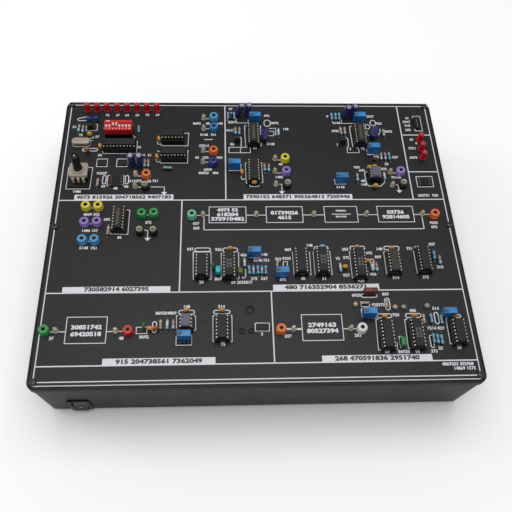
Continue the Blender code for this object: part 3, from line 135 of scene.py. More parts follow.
class Recipe:
    """The node tree of one material."""

    def __init__(self, name: str) -> None:
        """Makes an empty material with its Principled shader."""
        self.material = bpy.data.materials.new(f"{name}_finish")
        self.material.use_nodes = True
        self.tree = self.material.node_tree
        self.shader = self.tree.nodes["Principled BSDF"]

    def node(self, kind: str, inputs: dict | None = None, out: int | str = 0, **settings: object) -> Wire:
        """Adds any node.

        Args:
            kind: The node's type.
            inputs: Values or wires for its sockets, by name or place.
            out: Which output the wire carries.
            **settings: Properties set first.

        Returns:
            A wire from the node's output.
        """
        made = self.tree.nodes.new(kind)
        for key, value in settings.items():
            setattr(made, key, value)
        for key, value in (inputs or {}).items():
            self.feed(made.inputs[key], value)
        return Wire(self, made.outputs[out])

    def feed(self, socket: bpy.types.NodeSocket, value: object) -> None:
        """Sets a socket to a value, or links a wire to it."""
        if isinstance(value, Wire):
            self.tree.links.new(value.socket, socket)
        elif isinstance(value, tuple) and len(value) == 3 and socket.type == "RGBA":
            socket.default_value = (*value, 1.0)
        else:
            socket.default_value = value

    def place(self) -> Wire:
        """Object coordinates."""
        return self.node("ShaderNodeTexCoord", out="Object")

    def noise(self, size: float, detail: float = 2.0, stretch: Colour = (1.0, 1.0, 1.0)) -> Wire:
        """A noise of a given grain size in metres, as a number about 0.5."""
        spread = self.node("ShaderNodeMapping", {"Vector": self.place(), "Scale": stretch})
        return self.node("ShaderNodeTexNoise", {"Vector": spread, "Scale": 1.0 / size, "Detail": detail}, out="Fac")

    def blend(self, factor: "Wire | float", first: object, second: object) -> Wire:
        """Mixes two colours."""
        made = self.node("ShaderNodeMix", {}, out=2, data_type="RGBA")
        mix = made.socket.node
        self.feed(mix.inputs[0], factor)
        self.feed(mix.inputs[6], first)
        self.feed(mix.inputs[7], second)
        return made

    def steps(self, value: Wire, low: float, high: float) -> Wire:
        """A number ramped from 0 at low to 1 at high."""
        return self.node("ShaderNodeMapRange", {"Value": value, "From Min": low, "From Max": high})

    def bump(self, height: Wire, depth: float) -> Wire:
        """A bumped normal, with the depth of the relief in metres."""
        return self.node("ShaderNodeBump", {"Height": height, "Distance": depth, "Strength": 1.0}, out="Normal")

    def finish(self, **sockets: object) -> bpy.types.Material:
        """Feeds the shader's sockets by name, with spaces as underscores."""
        for key, value in sockets.items():
            self.feed(self.shader.inputs[key.replace("_", " ")], value)
        return self.material


def shade(colour: Colour, share: float) -> Colour:
    """A colour made darker or lighter by a share."""
    return tuple(min(1.0, max(0.0, part * share)) for part in colour)


@dataclass(frozen=True)
class Moulded:
    """Moulded or lacquered plastic: colour, gloss and a fine grain."""
    name: str
    colour: Colour
    roughness: float = 0.35
    grain: float = 0.35 * MM
    depth: float = 0.01 * MM
    mottle: float = 0.10
    coat: float = 0.0
    gleam: float = 0.5

    def material(self) -> bpy.types.Material:
        """Builds the finish."""
        recipe = Recipe(self.name)
        cloud = recipe.noise(6 * MM, 3.0)
        fine = recipe.noise(self.grain)
        tone = recipe.blend(recipe.steps(cloud, 0.3, 0.7), shade(self.colour, 1 - self.mottle),
                            shade(self.colour, 1 + self.mottle))
        rough = recipe.steps(cloud + fine * 0.5, 0.2, 1.3) * 0.16 + (self.roughness - 0.08)
        return recipe.finish(Base_Color=tone, Roughness=rough, Normal=recipe.bump(fine, self.depth),
                             Coat_Weight=self.coat, Specular_IOR_Level=self.gleam)


@dataclass(frozen=True)
class Grained:
    """Black case plastic with a moulded grain and fine rub marks."""
    name: str
    colour: Colour
    roughness: float = 0.5

    def material(self) -> bpy.types.Material:
        """Builds the finish."""
        recipe = Recipe(self.name)
        pits = recipe.node("ShaderNodeTexVoronoi", {"Vector": recipe.place(), "Scale": 1.0 / (0.9 * MM)})
        cloud = recipe.noise(18 * MM, 4.0)
        rubs = recipe.noise(2.2 * MM, 4.0, (0.12, 1.0, 1.0))
        tone = recipe.blend(recipe.steps(cloud, 0.3, 0.75), shade(self.colour, 0.86), shade(self.colour, 1.22))
        tone = recipe.blend(recipe.steps(rubs, 0.66, 0.8) * 0.12, tone, (0.10, 0.10, 0.10))
        rough = recipe.steps(cloud, 0.2, 0.8) * 0.12 + recipe.steps(rubs, 0.5, 0.8) * 0.08 + (self.roughness - 0.08)
        relief = pits * 0.6 + recipe.noise(0.3 * MM) * 0.4
        return recipe.finish(Base_Color=tone, Roughness=rough, Normal=recipe.bump(relief, 0.03 * MM),
                             Specular_IOR_Level=0.33)


@dataclass(frozen=True)
class SolderMask:
    """The panel's black lacquer, with a slight orange peel and fine specks of dust."""
    name: str
    colour: Colour
    roughness: float = 0.42
    gleam: float = 0.37

    def material(self) -> bpy.types.Material:
        """Builds the finish."""
        recipe = Recipe(self.name)
        cloud = recipe.noise(40 * MM, 3.0)
        fine = recipe.noise(0.35 * MM, 3.0)
        peel = recipe.noise(2.4 * MM, 2.0)
        tone = recipe.blend(recipe.steps(cloud, 0.3, 0.7), shade(self.colour, 0.9), shade(self.colour, 1.12))
        tone = recipe.blend(recipe.steps(fine, 0.62, 0.74) * 0.10, tone, (0.16, 0.16, 0.17))
        rough = recipe.steps(peel + fine * 0.6, 0.4, 1.1) * 0.14 + (self.roughness - 0.07)
        relief = peel * 0.7 + fine * 0.3
        return recipe.finish(Base_Color=tone, Roughness=rough, Normal=recipe.bump(relief, 0.012 * MM),
                             Specular_IOR_Level=self.gleam)


@dataclass(frozen=True)
class Ink:
    """Screen-printed ink: nearly flat, a little thin in places."""
    name: str
    colour: Colour
    under: Colour
    thin: float = 0.16

    def material(self) -> bpy.types.Material:
        """Builds the finish."""
        recipe = Recipe(self.name)
        gaps = recipe.steps(recipe.noise(0.5 * MM, 3.0), 0.45, 0.75)
        tone = recipe.blend(gaps * self.thin, self.colour, self.under)
        return recipe.finish(Base_Color=tone, Roughness=recipe.steps(gaps, 0.0, 1.0) * 0.1 + 0.5)


@dataclass(frozen=True)
class Metal:
    """Bare or plated metal with turning marks and dull spots."""
    name: str
    colour: Colour
    roughness: float = 0.28
    tarnish: float = 0.25
    grain: float = 0.25 * MM
    depth: float = 0.006 * MM
    metallic: float = 1.0

    def material(self) -> bpy.types.Material:
        """Builds the finish."""
        recipe = Recipe(self.name)
        cloud = recipe.steps(recipe.noise(1.6 * MM, 3.0), 0.35, 0.75)
        marks = recipe.noise(self.grain, 3.0, (1.0, 1.0, 4.0))
        tone = recipe.blend(cloud * self.tarnish, self.colour, shade(self.colour, 0.45))
        rough = cloud * 0.18 + marks * 0.1 + (self.roughness - 0.1)
        return recipe.finish(Base_Color=tone, Roughness=rough, Metallic=self.metallic,
                             Normal=recipe.bump(marks, self.depth))


@dataclass(frozen=True)
class Lens:
    """Tinted lamp resin under a clear coat: a deep colour, with painted shade that darkens it where its surface turns
    away from the view.
    """
    name: str
    colour: Colour

    def material(self) -> bpy.types.Material:
        """Builds the finish."""
        recipe = Recipe(self.name)
        # Painted shade: the facing weight darkens the resin's colour towards its outline as seen.
        edge = recipe.node("ShaderNodeLayerWeight", {"Blend": 0.35}, out="Facing")
        swirl = recipe.noise(1.2 * MM)
        tone = recipe.blend(edge * 0.6 + swirl * 0.3, self.colour, shade(self.colour, 0.45))
        return recipe.finish(Base_Color=tone, Roughness=recipe.steps(swirl, 0.2, 0.8) * 0.06 + 0.14,
                             Coat_Weight=0.6, Coat_Roughness=0.06)


@dataclass(frozen=True)
class Laminate:
    """The raw edge of glass-fibre board, in thin layers."""
    name: str
    colour: Colour

    def material(self) -> bpy.types.Material:
        """Builds the finish."""
        recipe = Recipe(self.name)
        layers = recipe.noise(2.0 * MM, 3.0, (0.15, 0.15, 8.0))
        tone = recipe.blend(recipe.steps(layers, 0.35, 0.7), self.colour, shade(self.colour, 0.72))
        return recipe.finish(Base_Color=tone, Roughness=recipe.steps(layers, 0.0, 1.0) * 0.2 + 0.5,
                             Normal=recipe.bump(layers, 0.05 * MM))


class Finish(Enum):
    """Every finish on the trainer."""
    CASE = Grained("case_plastic", (0.0075, 0.0075, 0.0083), 0.42)
    MASK = SolderMask("panel_mask", (0.0086, 0.0083, 0.0104))
    # Raw glass-fibre edge with a painted highlight: its colour is raised to near white on the board's sides.
    EDGE = Laminate("panel_edge_and_highlight", (0.98, 0.98, 0.96))
    PRINT = Ink("white_print", (0.84, 0.85, 0.89), (0.2, 0.2, 0.2))
    DARK_INK = Ink("dark_print", (0.02, 0.02, 0.024), (0.3, 0.3, 0.3), 0.1)
    SCREW = Metal("screw_steel", (0.11, 0.10, 0.09), 0.42, 0.4)
    RUBBER = Moulded("foot_rubber", (0.018, 0.018, 0.018), 0.75, 0.5 * MM, 0.03 * MM)
    CHIP = Moulded("chip_black", (0.017, 0.016, 0.016), 0.5, 0.2 * MM, 0.012 * MM, 0.14, gleam=0.32)
    CHIP_BROWN = Moulded("chip_brown", (0.027, 0.025, 0.020), 0.5, 0.2 * MM, 0.012 * MM, 0.25)
    CHIP_GREY = Moulded("chip_grey", (0.13, 0.12, 0.17), 0.5, 0.2 * MM, 0.012 * MM, 0.2)
    CHIP_MARK = Ink("chip_mark", (0.27, 0.30, 0.36), (0.08, 0.09, 0.10), 0.4)
    CHIP_TAN = Ink("chip_tan", (0.085, 0.066, 0.05), (0.02, 0.02, 0.02), 0.9)
    HOLDER = Moulded("holder_black", (0.005, 0.005, 0.006), 0.4, gleam=0.35)
    CONTACT = Metal("contact_gold", (0.80, 0.62, 0.34), 0.36, 0.3, metallic=0.4)
    # Chip legs' tin, made pale and less metallic as a painted highlight on their shoulders.
    PIN = Metal("chip_pin_and_highlight", (0.80, 0.73, 0.58), 0.42, 0.2, metallic=0.2)
    TIN = Metal("lead_tin", (0.50, 0.46, 0.38), 0.34, 0.3, metallic=0.8)
    LAMP = Lens("lamp_red", (0.60, 0.003, 0.014))
    SLIDE_RED = Moulded("slide_red", (0.62, 0.014, 0.022), 0.38, mottle=0.05)
    SLIDER = Moulded("slider_white", (0.86, 0.83, 0.80), 0.38, mottle=0.04)
    TRIM_BLUE = Moulded("trim_blue", (0.012, 0.155, 0.46), 0.36, mottle=0.06)
    # A lighter copy of the trimmer blue, a painted highlight on the trimmers' tops.
    TRIM_TOP = Moulded("trim_top", (0.035, 0.24, 0.56), 0.36, mottle=0.3)
    BRASS = Metal("adjuster_brass", (0.24, 0.22, 0.18), 0.5, metallic=0.3)
    # Dark metal of the socket sleeves, also used as painted shade on seated chip contacts and on the ground sockets'
    # sides and hollow.
    BORE = Metal("socket_bore", (0.22, 0.19, 0.15), 0.4, 0.5)
    POST = Metal("post_gilt", (0.86, 0.78, 0.58), 0.30, 0.4, metallic=0.5)
    CAP = Metal("cap_nickel", (0.48, 0.43, 0.33), 0.34, 0.5, metallic=0.75)
    SILVER = Metal("post_silver", (0.50, 0.45, 0.33), 0.32, 0.5, metallic=0.9)
    FILM_BLUE = Moulded("resistor_blue", (0.17, 0.42, 0.60), 0.42, mottle=0.1)
    FILM_SKY = Moulded("resistor_sky", (0.30, 0.56, 0.70), 0.42, mottle=0.1)
    FILM_PALE = Moulded("resistor_pale", (0.70, 0.74, 0.74), 0.42, mottle=0.08)
    FILM_PINK = Moulded("resistor_pink", (0.52, 0.34, 0.29), 0.45, mottle=0.1)
    FILM_TEAL = Moulded("resistor_teal", (0.10, 0.36, 0.36), 0.42, mottle=0.1)
    FILM_CREAM = Moulded("resistor_cream", (0.52, 0.44, 0.34), 0.45, mottle=0.12)
    BAND_BROWN = Moulded("band_brown", (0.16, 0.05, 0.02), 0.45)
    BAND_RED = Moulded("band_red", (0.50, 0.05, 0.03), 0.45)
    BAND_BLACK = Moulded("band_black", (0.02, 0.02, 0.02), 0.45)
    BAND_YELLOW = Moulded("band_yellow", (0.70, 0.56, 0.06), 0.45)
    BAND_ORANGE = Moulded("band_orange", (0.75, 0.24, 0.04), 0.45)
    DROP_ORANGE = Moulded("drop_orange", (0.76, 0.34, 0.07), 0.36, 0.6 * MM, 0.03 * MM, 0.12)
    DROP_BROWN = Moulded("drop_brown", (0.42, 0.13, 0.04), 0.4, 0.6 * MM, 0.03 * MM, 0.12)
    DROP_BLUE = Moulded("drop_blue", (0.01, 0.06, 0.42), 0.34, 0.6 * MM, 0.03 * MM, 0.1)
    DROP_GREEN = Moulded("drop_green", (0.03, 0.16, 0.05), 0.4, 0.6 * MM, 0.03 * MM, 0.1)
    SLEEVE = Moulded("can_sleeve", (0.018, 0.018, 0.12), 0.26, mottle=0.1, coat=0.2)
    SLEEVE_MARK = Moulded("can_stripe", (0.34, 0.35, 0.50), 0.34)
    CAN_TOP = Metal("can_top", (0.50, 0.50, 0.54), 0.4, 0.3, metallic=0.7)
    CRYSTAL = Metal("crystal_steel", (0.47, 0.41, 0.33), 0.42, 0.2, metallic=0.35)
    OLIVE = Moulded("film_olive", (0.12, 0.15, 0.03), 0.4)
    CYAN = Moulded("film_cyan", (0.02, 0.50, 0.58), 0.36)
    MAROON = Moulded("film_maroon", (0.13, 0.022, 0.015), 0.34)
    LEAF = Moulded("film_green", (0.03, 0.22, 0.06), 0.4)
    IVORY = Moulded("pot_ivory", (0.44, 0.39, 0.31), 0.46, 0.5 * MM, 0.02 * MM, 0.06)
    SHAFT = Moulded("pot_black", (0.005, 0.005, 0.005), 0.36, 0.4 * MM, 0.02 * MM, gleam=0.3)
    SWITCH = Moulded("switch_black", (0.014, 0.014, 0.015), 0.4, 0.3 * MM, 0.02 * MM)
    ROCKER = Moulded("rocker_black", (0.008, 0.008, 0.009), 0.22, coat=0.4)
    INLET = Moulded("inlet_black", (0.012, 0.012, 0.013), 0.42, 0.4 * MM, 0.02 * MM)
    BOARD = Moulded("supply_board", (0.03, 0.14, 0.05), 0.4)
    IRON = Metal("core_iron", (0.30, 0.29, 0.28), 0.4, 0.5)
    BOBBIN = Moulded("bobbin_tape", (0.68, 0.52, 0.12), 0.36)

    def get(self) -> bpy.types.Material:
        """The material, built on first use."""
        return bpy.data.materials.get(f"{self.value.name}_finish") or self.value.material()


class Dye(Enum):
    """Colours of the patch sockets."""
    SKY = (0.07, 0.33, 0.62)
    BLUE = (0.02, 0.20, 0.50)
    ORANGE = (0.80, 0.16, 0.03)
    NAVY = (0.016, 0.028, 0.25)
    AMBER = (0.82, 0.20, 0.03)
    YELLOW = (0.78, 0.66, 0.02)
    VIOLET = (0.32, 0.20, 0.60)
    LILAC = (0.34, 0.23, 0.64)
    GREEN = (0.02, 0.34, 0.08)
    MINT = (0.16, 0.52, 0.32)
    RED = (0.56, 0.012, 0.022)
    WHITE = (0.82, 0.81, 0.78)

    def get(self) -> bpy.types.Material:
        """The material, built on first use."""
        name = f"socket_{self.name.lower()}"
        return (bpy.data.materials.get(f"{name}_finish")
                or Moulded(name, self.value, 0.28, mottle=0.05, coat=0.25).material())


# Modelling

class Bench:
    """Shapes one piece at a time with Blender's modelling operators."""

    @staticmethod
    def hold(*pieces: Object) -> None:
        """Deselects all, then selects these pieces, the last one active."""
        if bpy.context.object is not None and bpy.context.object.mode != "OBJECT":
            bpy.ops.object.mode_set(mode="OBJECT")
        bpy.ops.object.select_all(action="DESELECT")
        for piece in pieces:
            piece.select_set(True)
            bpy.context.view_layer.objects.active = piece

    @classmethod
    def named(cls, name: str) -> Object:
        """Names the new active piece and moves its place into its mesh."""
        piece = bpy.context.object
        piece.name = name
        piece.data.name = name
        bpy.ops.object.transform_apply(location=True, rotation=True, scale=True)
        return piece

    @classmethod
    def block(cls, name: str, low: tuple, high: tuple) -> Object:
        """A box between two corners."""
        cls.hold()
        low, high = Vector(low), Vector(high)
        bpy.ops.mesh.primitive_cube_add(size=1.0, location=(low + high) / 2)
        bpy.context.object.scale = high - low
        return cls.named(name)

    @classmethod
    def pick(cls, piece: Object, test: Callable[[Vector, Vector], bool]) -> None:
        """In edit mode, selects the faces whose middle and normal pass a test."""
        bpy.ops.mesh.select_mode(type="FACE")
        bpy.ops.mesh.select_all(action="DESELECT")
        shape = bmesh.from_edit_mesh(piece.data)
        for face in shape.faces:
            if test(face.calc_center_median(), face.normal):
                face.select_set(True)
        bmesh.update_edit_mesh(piece.data)

    @classmethod
    def pick_edges(cls, piece: Object, test: Callable[[Vector, Vector], bool]) -> None:
        """In edit mode, selects the edges whose two ends pass a test."""
        bpy.ops.mesh.select_mode(type="EDGE")
        bpy.ops.mesh.select_all(action="DESELECT")
        shape = bmesh.from_edit_mesh(piece.data)
        for edge in shape.edges:
            if test(edge.verts[0].co, edge.verts[1].co):
                edge.select_set(True)
        bmesh.update_edit_mesh(piece.data)

    @classmethod
    def edit(cls, piece: Object) -> None:
        """Enters edit mode on a piece."""
        cls.hold(piece)
        bpy.ops.object.mode_set(mode="EDIT")

    @classmethod
    def done(cls) -> None:
        """Turns all faces outwards and leaves edit mode."""
        bpy.ops.mesh.select_all(action="SELECT")
        bpy.ops.mesh.normals_make_consistent(inside=False)
        bpy.ops.object.mode_set(mode="OBJECT")

    @classmethod
    def pull(cls, shift: tuple, scale: tuple = (1.0, 1.0, 1.0), about: tuple = (0.0, 0.0, 0.0)) -> None:
        """Extrudes what is selected by a shift, and scales it about a point."""
        bpy.ops.mesh.extrude_region_move(TRANSFORM_OT_translate={"value": shift})
        if tuple(scale) != (1.0, 1.0, 1.0):
            bpy.ops.transform.resize(value=scale, center_override=about)

    @classmethod
    def turned(cls, name: str, profile: list[Share], sides: int = 32, at: Vector | tuple = (0, 0, 0)) -> Object:
        """A turned solid, drawn up from a circle by extruding and scaling.

        Args:
            name: The piece's name.
            profile: Radius and height of each ring, from the bottom cap to the last cap.
            sides: Facets round the circle.
            at: Where its axis meets height zero.

        Returns:
            The new piece.
        """
        cls.hold()
        radius, height = profile[0]
        bpy.ops.mesh.primitive_circle_add(vertices=sides, radius=radius, fill_type="NGON", location=(0, 0, height))
        piece = cls.named(name)
        cls.edit(piece)
        bpy.ops.mesh.select_mode(type="FACE")
        bpy.ops.mesh.select_all(action="SELECT")
        for (old_radius, old_height), (radius, height) in zip(profile, profile[1:]):
            ratio = radius / old_radius
            cls.pull((0, 0, height - old_height), (ratio, ratio, 1.0), (0, 0, height))
        cls.done()
        return cls.smooth(cls.move(piece, at))

    @classmethod
    def rounded(cls, name: str, low: tuple, high: tuple, corner: float, steps: int = 6) -> Object:
        """A box whose upright edges are rounded."""
        piece = cls.block(name, low, high)
        cls.edit(piece)
        cls.pick_edges(piece, lambda a, b: abs(a.z - b.z) > abs(a.x - b.x) + abs(a.y - b.y))
        bpy.ops.mesh.bevel(offset=corner, segments=steps, affect="EDGES")
        cls.done()
        return piece

    @classmethod
    def taper(cls, piece: Object, scale_x: float, scale_y: float, about: tuple) -> None:
        """Scales a piece's bottom face."""
        cls.edit(piece)
        cls.pick(piece, down)
        bpy.ops.transform.resize(value=(scale_x, scale_y, 1.0), center_override=about)
        cls.done()

    @classmethod
    def bevel(cls, piece: Object, width: float, steps: int = 2, angle: float = 40.0) -> Object:
        """Rounds the sharp edges with an applied Bevel."""
        step = piece.modifiers.new("edge", "BEVEL")
        step.width = width
        step.segments = steps
        step.limit_method = "ANGLE"
        step.angle_limit = math.radians(angle)
        cls.hold(piece)
        bpy.ops.object.modifier_apply(modifier=step.name)
        return piece

    @classmethod
    def cut(cls, piece: Object, tool: Object, operation: str = "DIFFERENCE") -> Object:
        """Applies a Boolean with a tool, and removes the tool."""
        step = piece.modifiers.new("cut", "BOOLEAN")
        step.operation = operation
        step.solver = "EXACT"
        step.object = tool
        cls.hold(piece)
        bpy.ops.object.modifier_apply(modifier=step.name)
        bpy.data.objects.remove(tool, do_unlink=True)
        return piece

    @classmethod
    def smooth(cls, piece: Object, angle: float = 38.0) -> Object:
        """Shades a piece smooth up to an angle."""
        cls.hold(piece)
        bpy.ops.object.shade_smooth_by_angle(angle=math.radians(angle))
        return piece

    @classmethod
    def put(cls, piece: Object, matrix: Matrix) -> Object:
        """Places a piece by a matrix."""
        piece.data.transform(matrix)
        return piece

    @classmethod
    def turn(cls, piece: Object, axis: str, degrees: float) -> Object:
        """Turns a piece about one of the world's axes."""
        return cls.put(piece, Matrix.Rotation(math.radians(degrees), 4, axis))

    @classmethod
    def move(cls, piece: Object, shift: Vector | tuple) -> Object:
        """Moves a piece."""
        return cls.put(piece, Matrix.Translation(shift))

    @classmethod
    def slab(cls, name: str, low: tuple, high: tuple, finish: "Finish", edge: float, steps: int = 2) -> Object:
        """A box with one finish and its edges rounded by some millimetres."""
        return cls.dress(cls.bevel(cls.block(name, low, high), edge * MM, steps), finish)

    @classmethod
    def stub(cls, name: str, profile: list[Share], finish: "Finish", sides: int = 32, at: tuple = (0, 0, 0)) -> Object:
        """A turned solid with one finish."""
        return cls.dress(cls.turned(name, profile, sides, at), finish)

    @classmethod
    def tray(cls, piece: Object, border: float, depth: float) -> None:
        """Sinks a piece's top inside a border, both in millimetres."""
        cls.edit(piece)
        cls.pick(piece, up)
        bpy.ops.mesh.inset(thickness=border * MM)
        cls.pull((0, 0, -depth * MM))
        cls.done()

    @classmethod
    def copy(cls, piece: Object, name: str, matrix: Matrix) -> Object:
        """Copies a piece with a mesh of its own, placed by a matrix."""
        twin = piece.copy()
        twin.data = piece.data.copy()
        twin.name = name
        twin.data.name = name
        twin.data.transform(matrix)
        bpy.context.scene.collection.objects.link(twin)
        return twin

    @classmethod
    def join(cls, name: str, pieces: list[Object]) -> Object:
        """Joins pieces into one, which keeps their finishes."""
        cls.hold(*pieces)
        if len(pieces) > 1:
            bpy.ops.object.join()
        piece = bpy.context.object
        piece.name = name
        piece.data.name = name
        return piece

    @classmethod
    def drop(cls, *pieces: Object) -> None:
        """Removes pieces that only served as patterns."""
        for piece in pieces:
            bpy.data.objects.remove(piece, do_unlink=True)

    @classmethod
    def dress(cls, piece: Object, finish: Finish | Dye) -> Object:
        """Gives a piece one finish."""
        piece.data.materials.clear()
        piece.data.materials.append(finish.get())
        return piece

    @classmethod
    def dress_where(cls, piece: Object, finish: Finish | Dye, test: Callable[[Vector, Vector], bool]) -> Object:
        """Gives a second finish to the faces whose middle and normal pass a test."""
        material = finish.get()
        if material.name not in [held.name for held in piece.data.materials]:
            piece.data.materials.append(material)
        place = [held.name for held in piece.data.materials].index(material.name)
        for face in piece.data.polygons:
            if test(face.center, face.normal):
                face.material_index = place
        return piece

    @classmethod
    def stroke(cls, points: list[Vector], width: float, closed: bool = False) -> Object:
        """A printed line through points: a flat curve made a mesh."""
        cls.hold()
        curve = bpy.data.curves.new("stroke", "CURVE")
        curve.dimensions = "3D"
        curve.bevel_depth = width / 2
        curve.bevel_resolution = 1
        curve.use_fill_caps = True
        line = curve.splines.new("POLY")
        line.points.add(len(points) - 1)
        for point, place in zip(line.points, points):
            point.co = (place[0], place[1], 0.0, 1.0)
        line.use_cyclic_u = closed
        piece = bpy.data.objects.new("stroke", curve)
        bpy.context.scene.collection.objects.link(piece)
        cls.hold(piece)
        bpy.ops.object.convert(target="MESH")
        piece = bpy.context.object
        flat = Matrix.Diagonal((1.0, 1.0, PRINT_RISE * 2 / width, 1.0))
        piece.data.transform(Matrix.Translation((0, 0, points[0][2])) @ flat)
        return piece

    @classmethod
    def digits(cls, words: str, size: float, at: Vector, turn: float = 0.0, bold: float = 0.0,
               width: float = 0.0) -> Object:
        """Printed figures, centred at a point and, if a width is given, drawn out to it."""
        cls.hold()
        bpy.ops.object.text_add(location=(0, 0, 0))
        text = bpy.context.object.data
        text.body = words
        text.size = size
        text.align_x = "CENTER"
        text.align_y = "CENTER"
        text.extrude = PRINT_RISE
        text.offset = bold
        text.resolution_u = 2
        bpy.ops.object.convert(target="MESH")
        piece = bpy.context.object
        wide = width / piece.dimensions.x if width else 1.0
        piece.data.transform(Matrix.Translation(at) @ Matrix.Rotation(math.radians(turn), 4, "Z")
                             @ Matrix.Diagonal((wide, 1.0, 1.0, 1.0)))
        return piece


def settle(piece: Object, body: str = BODY, stands_for: tuple[str, ...] = ()) -> Object:
    """Fixes a finished piece to its body.

    Args:
        piece: The piece, with its place in its mesh.
        body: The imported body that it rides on.
        stands_for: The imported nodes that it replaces.

    Returns:
        The same piece.
    """
    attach(piece, body)
    if stands_for:
        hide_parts(*stands_for)
    log.info("%s: %d faces on %s", piece.name, len(piece.data.polygons), body)
    return piece


@dataclass(frozen=True)
class PrintedField:
    """The field inside the panel's printed border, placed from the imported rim."""
    border: float = 4.5 * MM
    proud: float = 1.2 * MM

    def __post_init__(self) -> None:
        """Reads the rim's box."""
        low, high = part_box("case_rim")
        object.__setattr__(self, "low", Vector((low.x + self.border, low.y + self.border, high.z + self.proud)))
        object.__setattr__(self, "high", Vector((high.x - self.border, high.y - self.border, high.z + self.proud)))

    def spot(self, place: Share, lift: float = 0.0) -> Vector:
        """The point of the panel at a share of the field, lifted off it."""
        return Vector((self.low.x + place[0] * (self.high.x - self.low.x),
                       self.low.y + place[1] * (self.high.y - self.low.y), self.low.z + lift))


FIELD = PrintedField()


def traced(numbers: tuple[int, ...]) -> list[Vector]:
    """The points of the panel at places given in ten-thousandths of the field."""
    return [FIELD.spot((x / 10000, y / 10000)) for x, y in zip(numbers[::2], numbers[1::2])]


def standing(place: Share, turn: float = 0.0, lift: float = 0.0) -> Matrix:
    """The matrix that stands a pattern on the panel, turned about its own upright axis."""
    return Matrix.Translation(FIELD.spot(place, lift)) @ Matrix.Rotation(math.radians(turn), 4, "Z")


